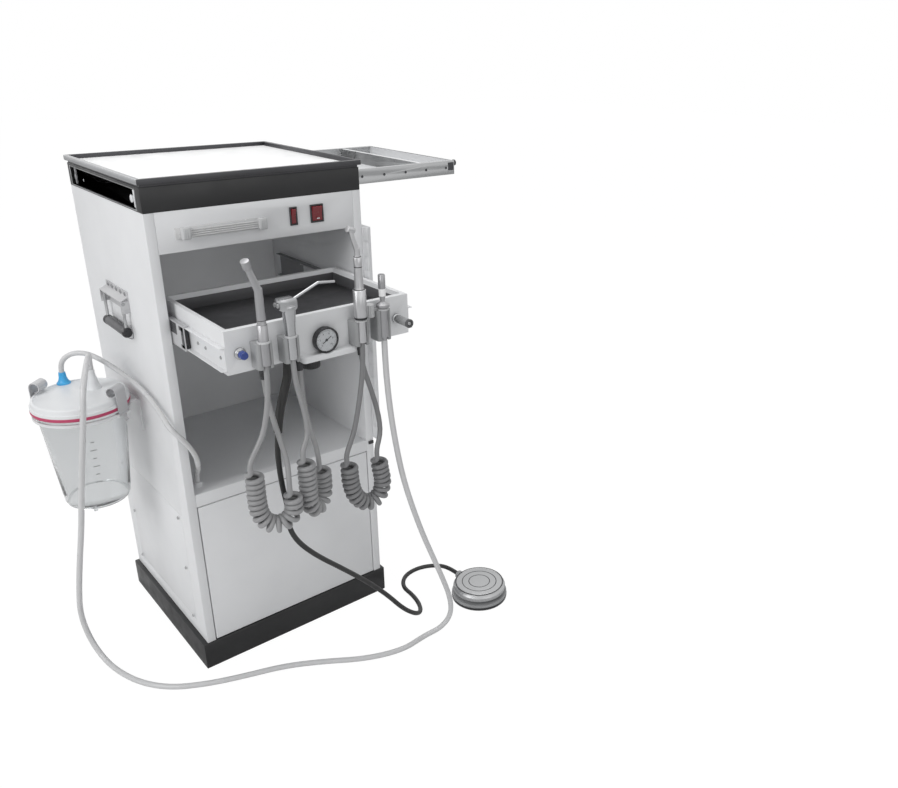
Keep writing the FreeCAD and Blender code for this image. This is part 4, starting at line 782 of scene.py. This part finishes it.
def band_window():
    """The aluminium edge of the window in the band's left side, and the rails seen in it."""
    front, back = -0.1595, 0.1675
    low, high = 0.8541, 0.8849
    bars = [block("window_edge", (-0.1909, y0, z0), (window_back, y1, z1), 0.0003)
            for y0, y1, z0, z1 in ((front, back, 0.8527, low), (front, back, high, 0.8861),
                                   (front, -0.1580, low, high), (0.1660, back, low, high))]
    fit(joined("window_edge", *bars), "cabinet", "bright_steel")
    ends = []
    for side in (-1, 1):
        outer = side * 0.1505
        inner = outer - side * 0.006
        ends.append(block("rail_end", (window_back, min(outer, inner), 0.8560),
                          (-0.1800, max(outer, inner), 0.8835), 0.001))
        ends.append(turned("rail_stop", [
            (0.0050, 0), (0.0060, 0.0010), (0.0060, 0.0026), (0.0040, 0.0034),
        ], (-0.1875, side * 0.1400, 0.8690), to_left, sides=32))
    # The front and back rail ends are the same steel: the front one is pale zinc as a painted
    # reflection, and the back one is dark steel as painted shade.
    fit(joined("front_rail_end_sheen", *ends[:2]), "cabinet", "bright_steel", finish_name="zinc")
    fit(joined("back_rail_end_shade", *ends[2:]), "cabinet", "bright_steel",
        finish_name="dark_steel")
    screws("rail_screw", "cabinet", to_left, [(-0.1845, 0.112, 0.866)], slot="white_plastic",
           radius=0.0028)


def tray_at_side():
    tray = dressed("side_tray", "side_tray", "bright_steel", 0.0003)
    trimmed(tray, (0.4243, 0, 0), to_right)
    knob = turned("side_tray_knob", [
        (0.0030, -0.001), (0.0030, 0.0025), (0.0052, 0.0040), (0.0060, 0.0070),
        (0.0056, 0.0098), (0.0036, 0.0111),
    ], (0.4240, -0.140, 0.875), to_right, sides=32)
    fit(knob, "side_tray", "black_plastic")
    half = 0.1502
    floor = 0.8569
    # A pale sheet over the tray's floor, its end and the top of its divider: painted reflection of
    # light on the shiny steel tray.
    liner = [block("liner", (0.0990, -half, 0.8564), (0.4220, half, floor), 0),
             block("liner", (0.4219, -half, floor), (0.4226, half, 0.8800), 0),
             block("liner", (0.3500, -0.1495, 0.8794), (0.3560, 0.1495, 0.8800), 0)]
    fit(joined("tray_sheen_sheet", *liner), "side_tray", "bright_steel", finish_name="zinc")
    hole_pitch = 0.0475
    # Dark discs in the rail's five holes: painted shade inside the holes. The thin dark stop at
    # the rail's end is joined to them.
    hole_shades = [turned("tray_hole_shade", [(0.0026, 0), (0.0026, 0.0012)], (0.214, -0.1509, 0.868),
                    to_front, sides=20)]
    hole_shades += [copied(hole_shades[0], "tray_hole_shade", (index * hole_pitch, 0, 0)) for index in range(1, 5)]
    hole_shades.append(block("tray_stop", (0.4090, -0.1523, 0.8630), (0.4225, -0.1518, 0.8780), 0))
    fit(joined("tray_hole_shade_and_stop", *hole_shades), "side_tray", "bright_steel", finish_name="dark_rim")


def strip_lamp():
    """A base, a channel behind the lens's four ribs, darker than the lens as painted shade between
    the ribs, and a ribbed cap at each end.
    """
    low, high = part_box("strip_lamp")
    x0, x1 = low.x, high.x
    z0, z1 = low.z, high.z
    back = -0.1824
    base = block("lamp_base", (x0, -0.1825, z0 + 0.0005), (x1, -0.1799, z1 - 0.0005), 0.0008)
    fit(base, "cabinet", "lamp_lens", "strip_lamp")
    channel = block("lamp_channel_painted_shade", (x0 + 0.021, -0.1865, z0 + 0.0022),
                    (x1 - 0.013, back, z1 - 0.0022), 0.0006)
    # the channel's darker plastic is painted shade in the grooves between the ribs
    fit(channel, "cabinet", "lamp_lens", finish_name="pale_plastic")
    ribs = [turned("lamp_rib", [(0.00125, 0), (0.00125, x1 - x0 - 0.036)],
                   (x0 + 0.022, -0.1868, z0 + 0.0041 + index * 0.0033), to_right, sides=16)
            for index in range(4)]
    fit(joined("lamp_ribs", *ribs), "cabinet", "lamp_lens")
    caps = []
    for start, end in ((x0 + 0.008, x0 + 0.022), (x1 - 0.014, x1)):
        caps.append(block("lamp_cap", (start, -0.1925, z0), (end, back, z1), 0.0022, 4))
        for index in range(1, 4):
            x = start + index * 0.0035
            caps.append(block("lamp_cap_rib", (x - 0.0006, -0.1930, z0 + 0.003),
                              (x + 0.0006, -0.1915, z1 - 0.003), 0.0003))
    fit(joined("lamp_caps", *caps), "cabinet", "lamp_lens", finish_name="pale_plastic")


def switches():
    dressed("switch_bezels", "cabinet", "black_plastic", 0.0005)
    dressed("main_rocker", "main_rocker", "red_plastic", 0.0012, 3)
    dressed("light_rocker", "light_rocker", "red_plastic", 0.0012, 3)
    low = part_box("main_rocker")[0]
    glow = block("main_rocker_mark", (0.0990, low.y - 0.0001, low.z + 0.0035),
                 (0.1040, low.y + 0.0012, low.z + 0.0052), 0.0003)
    fit(glow, "main_rocker", "red_plastic", finish_name="white_plastic")


def inside_cabinet():
    dressed("compressor", "cabinet", "motor_paint", 0.0010)
    dressed("air_tank", "cabinet", "tank_paint", 0.0008)
    dressed("water_bottle", "cabinet", "white_plastic", 0.002)
    dressed("control_box", "cabinet", "grey_plastic", 0.001)
    dressed("power_inlet", "cabinet", "black_plastic", 0.0003)


def handle():
    """The carrying handle: riveted plate with its hood, and a bail with grip and wire hook."""
    dressed("handle_plate", "cabinet", "chrome", 0.0004, finish_name="clip_steel")
    dressed("handle_bail", "handle_bail", "chrome", 0.0005, finish_name="bright_steel")
    sleeve = turned("handle_grip", [
        (0.0068, 0), (0.0082, 0.0012), (0.0084, 0.0025), (0.0084, 0.0990),
        (0.0082, 0.1005), (0.0068, 0.1018),
    ], (bail_x, bail_front - 0.0034, grip_z), (0, 1, 0))
    fit(sleeve, "handle_bail", "chrome", finish_name="grip_rubber")
    caps = [turned("grip_cap", [
        (0.0086, -0.009), (0.0089, -0.008), (0.0089, -0.001), (0.0078, 0.0004), (0.004, 0.0008),
    ], (bail_x, y, grip_z), (0, way, 0))
        for y, way in ((bail_front - 0.0036, -1), (bail_back + 0.0036, 1))]
    fit(joined("grip_caps", *caps), "handle_bail", "chrome", finish_name="black_plastic")
    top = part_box("handle_plate")[1].z
    rivet_pitch = 0.0215
    rivets = [turned("rivet", [
        (0.0036, 0), (0.0034, 0.0009), (0.0022, 0.0017), (0.0008, 0.0020),
    ], (cabinet_left - 0.002, handle_front + 0.010 + index * rivet_pitch, top - 0.0050),
        to_left, sides=24) for index in range(5)]
    fit(joined("handle_rivets", *rivets), "cabinet", "chrome", finish_name="dark_steel")
    wire = mesh_of(hose_curve("wire_hook_curve", placed([
        (0.006, -0.004, 0.013), (0.006, -0.012, 0.008), (0.006, -0.015, -0.002),
        (0.005, -0.012, -0.0095), (0.003, -0.005, -0.0105), (0, -0.002, -0.0085),
    ], bail_x, bail_front, grip_z), 0.0008), "wire_hook")
    fit(wire, "handle_bail", "chrome", finish_name="dark_steel")


# ---- drawer ----
def drawer_and_insert():
    dressed("drawer_box", "drawer", "white_drawer", 0.0008)
    dressed("drawer_insert", "drawer", "dark_laminate", 0.0004)
    low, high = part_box("drawer_insert")
    thick = 0.0020
    # Dark lips standing up from the insert's back and sides, over the drawer's white inner walls:
    # partly a dark lining and partly painted shade on those walls.
    lips = [block("drawer_wall_shade_lip", (x0, y0, high.z - 0.0002), (x1, y1, high.z + 0.0190), 0.0006)
            for x0, x1, y0, y1 in ((low.x, high.x, high.y - thick, high.y),
                                   (low.x, low.x + thick, low.y, high.y - 0.0022),
                                   (high.x - thick, high.x, low.y, high.y - 0.0022))]
    fit(joined("drawer_wall_shade_lip", *lips), "drawer", "dark_laminate", finish_name="shade_lip_dark")


def drawer_slides():
    """The slides' members, and the cages, balls and screws seen on them, with thin dark pieces for
    a black bracket and for painted shade in the slides' holes.
    """
    dressed("drawer_inner_slides", "drawer", "dark_steel", 0.0003, finish_name="zinc")
    dressed("drawer_middle_slides", "drawer_middle_slides", "dark_steel", 0.0003,
            finish_name="clip_steel")
    dressed("valve_block", "drawer", "grey_plastic", 0.0008)
    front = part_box("drawer_middle_slides")[0].y + 0.002
    ball_pitch = 0.0075
    cages = []
    balls = []
    slide_marks_dark = []
    for side in (-1, 1):
        x = side * 0.1672
        for z in (0.6462, 0.6778):
            cages.append(block("cage", (x - 0.0028, front, z - 0.0028),
                               (x + 0.0028, front + 0.046, z + 0.0028), 0.0008))
            balls += [turned("ball", [
                (0.0006, -0.0022), (0.0018, -0.0014), (0.0023, 0), (0.0018, 0.0014),
                (0.0006, 0.0022),
            ], (x - 0.0018, front + 0.004 + index * ball_pitch, z), sides=12)
                for index in range(6)]
        cages.append(block("cage_end", (x - 0.0030, front, 0.6490),
                           (x + 0.0030, front + 0.005, 0.6750), 0.0008))
    fit(joined("slide_cages", *cages), "drawer_middle_slides", "dark_steel",
        finish_name="black_plastic")
    fit(joined("slide_balls", *balls), "drawer_middle_slides", "dark_steel",
        finish_name="chrome")
    # Thin dark pieces on the middle slides' webs: the black bracket at their front, and painted
    # shade seen through their holes and cut-outs.
    for side in (-1, 1):
        x = side * 0.1720
        for start, end, z0, z1 in ((0, 0.010, 0.6450, 0.6800), (0, 0.017, 0.6735, 0.6800),
                                   (0, 0.015, 0.6450, 0.6500), (0.028, 0.052, 0.6620, 0.6810)):
            slide_marks_dark.append(block("dark_web_piece", (x - 0.0002, front + start, z0),
                                (x + 0.0002, front + end, z1), 0))
    fit(joined("slide_bracket_and_hole_shade", *slide_marks_dark), "drawer_middle_slides", "dark_steel",
        finish_name="black_plastic")
    screw_x = 0.1624
    screw_z = 0.662
    screws("slide_screws", "drawer", to_left, [
        (-screw_x, y, screw_z) for y in (-0.345, -0.290, -0.262, -0.150)
    ], radius=0.0028)
    screws("slide_screws_right", "drawer", to_right, [
        (screw_x, y, screw_z) for y in (-0.290, -0.262, -0.150)
    ], radius=0.0028)


def dial_marks(face):
    """Ticks over three quarters of the dial, and a number at every sixth."""
    centre = (0, 0, gauge_z)
    first = -135
    tick_top = gauge_z + 0.0168
    marks = []
    for index in range(31):
        long = 0.0030 if index % 3 == 0 else 0.0016
        tick = block("tick", (-0.00022, face - 0.0002, tick_top - long),
                     (0.00022, face + 0.0001, tick_top), 0)
        marks.append(copied(tick, "tick", turn=first + index * 9, about=centre, axis="Y"))
        bpy.data.objects.remove(tick)
    number_radius = 0.0112
    for index in range(6):
        turn = math.radians(first + index * 54)
        bpy.ops.object.text_add()
        text = bpy.context.object
        text.data.body = str(2 * index)
        text.data.size = 0.0042
        text.data.align_x = "CENTER"
        text.data.align_y = "CENTER"
        text.data.extrude = 0.00008
        select_only(text)
        bpy.ops.object.convert(target="MESH")
        number = named("number")
        number.rotation_euler = (math.radians(90), 0, 0)
        number.location = (math.sin(turn) * number_radius, face - 0.0001,
                           gauge_z + math.cos(turn) * number_radius)
        marks.append(settle(number))
    fit(joined("gauge_marks", *marks), "drawer", "black_plastic")


def gauge():
    """The pressure gauge: case, dial with its marks, needle and glass."""
    dressed("pressure_gauge", "drawer", "black_plastic", 0.0007, 3)
    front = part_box("pressure_gauge")[0].y
    inner_radius = 0.0179
    dial = turned("gauge_dial", [(inner_radius, 0), (inner_radius, 0.0006)],
                  (0, front + 0.0025, gauge_z), to_front, sides=64)
    fit(dial, "drawer", "black_plastic", finish_name="dial")
    face = front + 0.0019
    dial_marks(face)
    upright = block("gauge_needle", (-0.0006, face - 0.0010, gauge_z - 0.0082),
                    (0.0006, face - 0.0006, gauge_z + 0.0095), 0)
    needle = copied(upright, "gauge_pointer", turn=58, about=(0, 0, gauge_z), axis="Y")
    bpy.data.objects.remove(upright)
    hub = turned("gauge_hub", [(0.0022, 0), (0.0020, 0.0010)], (0, face, gauge_z), to_front,
                 sides=24)
    fit(joined("gauge_pointer", needle, hub), "drawer", "black_plastic")
    glass = turned("gauge_glass", [(inner_radius, 0), (inner_radius, 0.0003)],
                   (0, front + 0.0004, gauge_z), to_front, sides=64)
    fit(glass, "drawer", "black_plastic", finish_name="glass")


def knobs():
    place = (-0.140, drawer_front - 0.0003, 0.668)
    nut = turned("water_knob_nut", [
        (0.0088, 0), (0.0090, 0.0006), (0.0090, 0.0040), (0.0082, 0.0050), (0.0066, 0.0058),
        (0.0066, 0.0080),
    ], place, to_front, sides=32)
    fit(nut, "water_knob", "blue_plastic", "water_knob", finish_name="chrome")
    cap = turned("water_knob_cap", [
        (0.0058, 0.0078), (0.0064, 0.0084), (0.0064, 0.0160), (0.0058, 0.0175),
        (0.0030, 0.0180),
    ], place, to_front, flutes=18, flute_depth=0.05)
    fit(cap, "water_knob", "blue_plastic")
    place = (0.137, drawer_front - 0.0003, 0.667)
    flange = turned("air_knob_flange", [
        (0.0083, 0), (0.0085, 0.0005), (0.0085, 0.0034), (0.0076, 0.0040), (0.0050, 0.0042),
    ], place, to_front, sides=32)
    fit(flange, "air_knob", "grey_plastic", "air_knob", finish_name="chrome")
    grip = turned("air_knob_grip", [
        (0.0050, 0.0040), (0.0066, 0.0060), (0.0070, 0.0080), (0.0070, 0.0385),
        (0.0064, 0.0396), (0.0052, 0.0398), (0.0046, 0.0375), (0.0010, 0.0370),
    ], place, to_front, flutes=20, flute_depth=0.07)
    fit(grip, "air_knob", "grey_plastic")
    rim = turned("air_knob_rim", [(0.0071, 0.0360), (0.0074, 0.0366), (0.0074, 0.0392),
                                  (0.0066, 0.0400), (0.0048, 0.0401), (0.0046, 0.0380)],
                 place, to_front, sides=40)
    fit(rim, "air_knob", "grey_plastic", finish_name="grip_rubber")
    button = turned("air_knob_end", [(0.0034, 0.0366), (0.0034, 0.0386), (0.0026, 0.0392)],
                    place, to_front, sides=24)
    fit(button, "air_knob", "grey_plastic", finish_name="chrome")
    low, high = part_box("regulator_knob")
    regulator_x = -0.014
    regulator_y = -0.336
    knob = turned("regulator_grip", [
        (0.0135, 0), (0.0148, 0.0015), (0.0154, 0.0030), (0.0154, 0.0125), (0.0142, 0.0145),
        (0.0080, 0.0150),
    ], (regulator_x, regulator_y, low.z), flutes=30, flute_depth=0.04)
    fit(knob, "regulator_knob", "black_plastic", "regulator_knob", finish_name="black_sheet")
    stem = turned("regulator_stem", [(0.0040, 0.0149), (0.0040, high.z - low.z)],
                  (regulator_x, regulator_y, low.z), sides=24)
    fit(stem, "regulator_knob", "black_plastic", finish_name="chrome")
    rib = turned("vent_knob", [
        (0.0055, 0), (0.0078, 0.0010), (0.0080, 0.0025), (0.0080, 0.0190), (0.0074, 0.0215),
        (0.0050, 0.0225),
    ], (0.0785, -0.3725, 0.683), flutes=14, flute_depth=0.1)
    fit(rib, "drawer", "grey_plastic", finish_name="pale_plastic")


# ---- instruments ----
def ring(name, x, z, radius, height, body, finish_name="black_plastic", inner=0.004):
    """A thin band round an instrument's stem."""
    band = hoop(name, [
        (inner, 0), (radius, 0), (radius, height), (inner, height), (inner, 0),
    ], (x, axis_y, z), sides=48)
    fit(band, body, "instrument_metal", finish_name=finish_name)


def instruments():
    dressed("instrument_holders", "drawer", "grey_plastic", 0.0012, 3)
    dressed("high_speed_handpiece", "high_speed_handpiece", "instrument_metal", 0.0004)
    dressed("syringe", "syringe", "chrome", 0.0005)
    dressed("air_button", "air_button", "grey_plastic", 0.0003)
    dressed("water_button", "water_button", "grey_plastic", 0.0003)
    dressed("low_speed_handpiece", "low_speed_handpiece", "instrument_metal", 0.0004,
            finish_name="bright_metal")
    dressed("saliva_ejector", "saliva_ejector", "instrument_metal", 0.0003)
    tool = "high_speed_handpiece"
    ring("high_speed_joint", high_speed_x, 0.7102, 0.0074, 0.0012, tool)
    ring("high_speed_collar", high_speed_x, 0.7175, 0.0069, 0.0008, tool)
    tool = "low_speed_handpiece"
    ring("low_speed_foot", low_speed_x, 0.6872, 0.0106, 0.0030, tool, inner=0.0070)
    ring("low_speed_joint", low_speed_x, 0.7345, 0.0092, 0.0014, tool)
    ring("low_speed_collar", low_speed_x, 0.7705, 0.0066, 0.0012, tool)
    ring("low_speed_nose", low_speed_x, 0.7868, 0.0058, 0.0010, tool)
    ring("ejector_collar", ejector_x, 0.7170, 0.00565, 0.0120, "saliva_ejector",
         "white_laminate")
    for name, x, top in (("high_speed", high_speed_x, 0.683), ("syringe", syringe_x, 0.683),
                         ("low_speed", low_speed_x, 0.683), ("ejector", ejector_x, 0.694)):
        collar = hoop(name + "_seat", [
            (0.0083, 0.0000), (0.0098, 0.0000), (0.0098, 0.0022), (0.0086, 0.0030),
            (0.0083, 0.0030), (0.0083, 0.0000),
        ], (x, axis_y, top), sides=40)
        fit(collar, "drawer", "grey_plastic", finish_name="pale_plastic")


# ---- suction jar ----
def jar():
    foot = (jar_x, jar_y, 0)
    dressed("jar_bracket", "cabinet", "bright_steel", 0.0004, finish_name="zinc")
    shell = turned("jar_shell", [
        (0.0080, 0.3205), (0.0515, 0.3205), (0.0525, 0.3240), (0.0690, 0.4925), (0.0690, 0.4995),
        (0.0780, 0.4995), (0.0780, 0.4935), (0.0725, 0.4925), (0.0720, 0.4900),
        (0.0570, 0.3400), (0.0552, 0.3230), (0.0520, 0.3180), (0.0490, 0.3172),
        (0.0080, 0.3172),
    ], foot, sides=96)
    fit(shell, "cabinet", "clear_plastic", "collection_jar")
    pip = turned("jar_pip", [(0.0034, 0), (0.0035, 0.0015), (0.0035, 0.0085)],
                 (jar_x - 0.019, jar_y - 0.043, 0.3112), sides=24)
    fit(pip, "cabinet", "clear_plastic")
    base = hoop("jar_foot_ring", [
        (0.0480, 0.3160), (0.0500, 0.3155), (0.0518, 0.3165), (0.0518, 0.3180),
        (0.0480, 0.3180), (0.0480, 0.3160),
    ], foot, sides=96)
    fit(base, "cabinet", "clear_plastic")
    first_mark = 0.372
    mark_pitch = 0.016
    marks = []
    for index in range(6):
        z = first_mark + index * mark_pitch
        wall = 0.0552 + (z - 0.323) * 0.1
        wide = 0.5 if index % 2 else 0.9
        mark = block("mark", (jar_x - 0.006 * wide, jar_y - wall - 0.0006, z),
                     (jar_x + 0.006 * wide, jar_y - wall + 0.0010, z + 0.0011), 0)
        marks.append(copied(mark, "mark", turn=-8, about=foot))
        bpy.data.objects.remove(mark)
    fit(joined("jar_marks", *marks), "cabinet", "clear_plastic", finish_name="grey_plastic")
    seal = hoop("jar_seal_ring", [
        (0.0700, 0.4988), (0.0796, 0.4988), (0.0804, 0.5002), (0.0804, 0.5030),
        (0.0796, 0.5044), (0.0700, 0.5044), (0.0700, 0.4988),
    ], foot, sides=96)
    fit(seal, "cabinet", "red_rubber", "jar_seal")
    lid = turned("jar_lid_cap", [
        (0.0690, 0.5045), (0.0796, 0.5045), (0.0802, 0.5052), (0.0800, 0.5098),
        (0.0792, 0.5104), (0.0782, 0.5106), (0.0778, 0.5112), (0.0774, 0.5166),
        (0.0768, 0.5184), (0.0752, 0.5196), (0.0728, 0.5198), (0.0722, 0.5190),
        (0.0700, 0.5186), (0.0560, 0.5192), (0.0100, 0.5198),
    ], foot, sides=96)
    fit(lid, "cabinet", "white_plastic", "jar_lid")
    cone = turned("spigot", [
        (0.0130, -0.001), (0.0126, 0.0006), (0.0112, 0.0022), (0.0100, 0.0080),
        (0.0078, 0.0180), (0.0060, 0.0260), (0.0056, 0.0300), (0.0060, 0.0320),
        (0.0052, 0.0352),
    ], (spigot_x, spigot_y, lid_top), sides=40)
    fit(cone, "cabinet", "white_plastic")
    plug = turned("blue_connector", [
        (0.0120, -0.001), (0.0118, 0.0010), (0.0098, 0.0028), (0.0080, 0.0060),
        (0.0066, 0.0110), (0.0060, 0.0180), (0.0056, 0.0205),
    ], (blue_x, blue_y, lid_top), sides=40)
    fit(plug, "cabinet", "white_plastic", finish_name="sky_plastic")
    cage = hoop("float_cage", [
        (0.0140, 0), (0.0160, 0), (0.0190, 0.0330), (0.0170, 0.0330), (0.0140, 0),
    ], (jar_x + 0.006, jar_y + 0.024, 0.4690), sides=40)
    fit(cage, "cabinet", "white_plastic")
    lid_clip("back_clip", 135)
    lid_clip("front_clip", -52)


def lid_clip(name, angle):
    """A curled sheet clip with its tab and knuckle, at an angle round the jar."""
    turn = Matrix.Rotation(math.radians(angle), 4, "Z")
    place = Matrix.Translation((jar_x, jar_y, 0)) @ turn
    out = 0.0815
    hinge_z = 0.4905
    band = bent_sheet(name + "_band", [
        (out, hinge_z), (out, 0.5050), (out, 0.5250), (out, 0.5340), (0.0770, 0.5400),
        (0.0695, 0.5400), (0.0635, 0.5350), (0.0635, 0.5275), (0.0680, 0.5225),
        (0.0725, 0.5235),
    ], 0.0265, 0.0013)
    tab = bent_sheet(name + "_tab", [
        (out, 0.4900), (out, 0.4860), (0.0830, 0.4810), (0.0870, 0.4770),
    ], 0.0090, 0.0013)
    clip = joined(name + "_sheet", band, tab)
    clip.matrix_world = place @ Matrix.Rotation(math.radians(90), 4, "X")
    apply_place(clip)
    knuckle = turned(name + "_knuckle", [(0.0022, 0), (0.0022, 0.0270)],
                     place @ Vector((out, -0.0135, hinge_z)), turn @ Vector((0, 1, 0)),
                     sides=24)
    fit(joined(name + "_sheet", clip, knuckle), name, "chrome", name,
        finish_name="clip_steel")


# ---- foot control ----
def foot_control():
    dressed("pedal_base", "cabinet", "grey_plastic", 0.001)
    dressed("pedal_top", "pedal_top", "bright_steel", 0.001)
    for index, radius in enumerate((0.050, 0.036, 0.022)):
        step = hoop(f"tread_ring_{index + 1}", [
            (radius - 0.0012, 0.0337), (radius - 0.0008, 0.0341), (radius + 0.0008, 0.0341),
            (radius + 0.0012, 0.0337), (radius - 0.0012, 0.0337),
        ], (pedal_x, pedal_y, 0), sides=64)
        fit(step, "pedal_top", "bright_steel", finish_name="black_plastic")
    pad = hoop("pedal_bumper", [
        (0.0560, 0.0006), (0.0582, 0.0010), (0.0586, 0.0030), (0.0586, 0.0060),
        (0.0560, 0.0064), (0.0560, 0.0006),
    ], (pedal_x, pedal_y, 0), sides=64)
    fit(pad, "cabinet", "grey_plastic", finish_name="black_plastic")


set_camera()
set_studio()
set_floor()
make_finishes()
handpiece_hoses()
suction_hose()
vacuum_hose()
foot_hose()
hose_loom()
cabinet_boards()
top_of_cabinet()
band_window()
tray_at_side()
strip_lamp()
switches()
inside_cabinet()
handle()
drawer_and_insert()
drawer_slides()
gauge()
knobs()
instruments()
jar()
foot_control()

bpy.context.scene.view_settings.view_transform = "Standard"
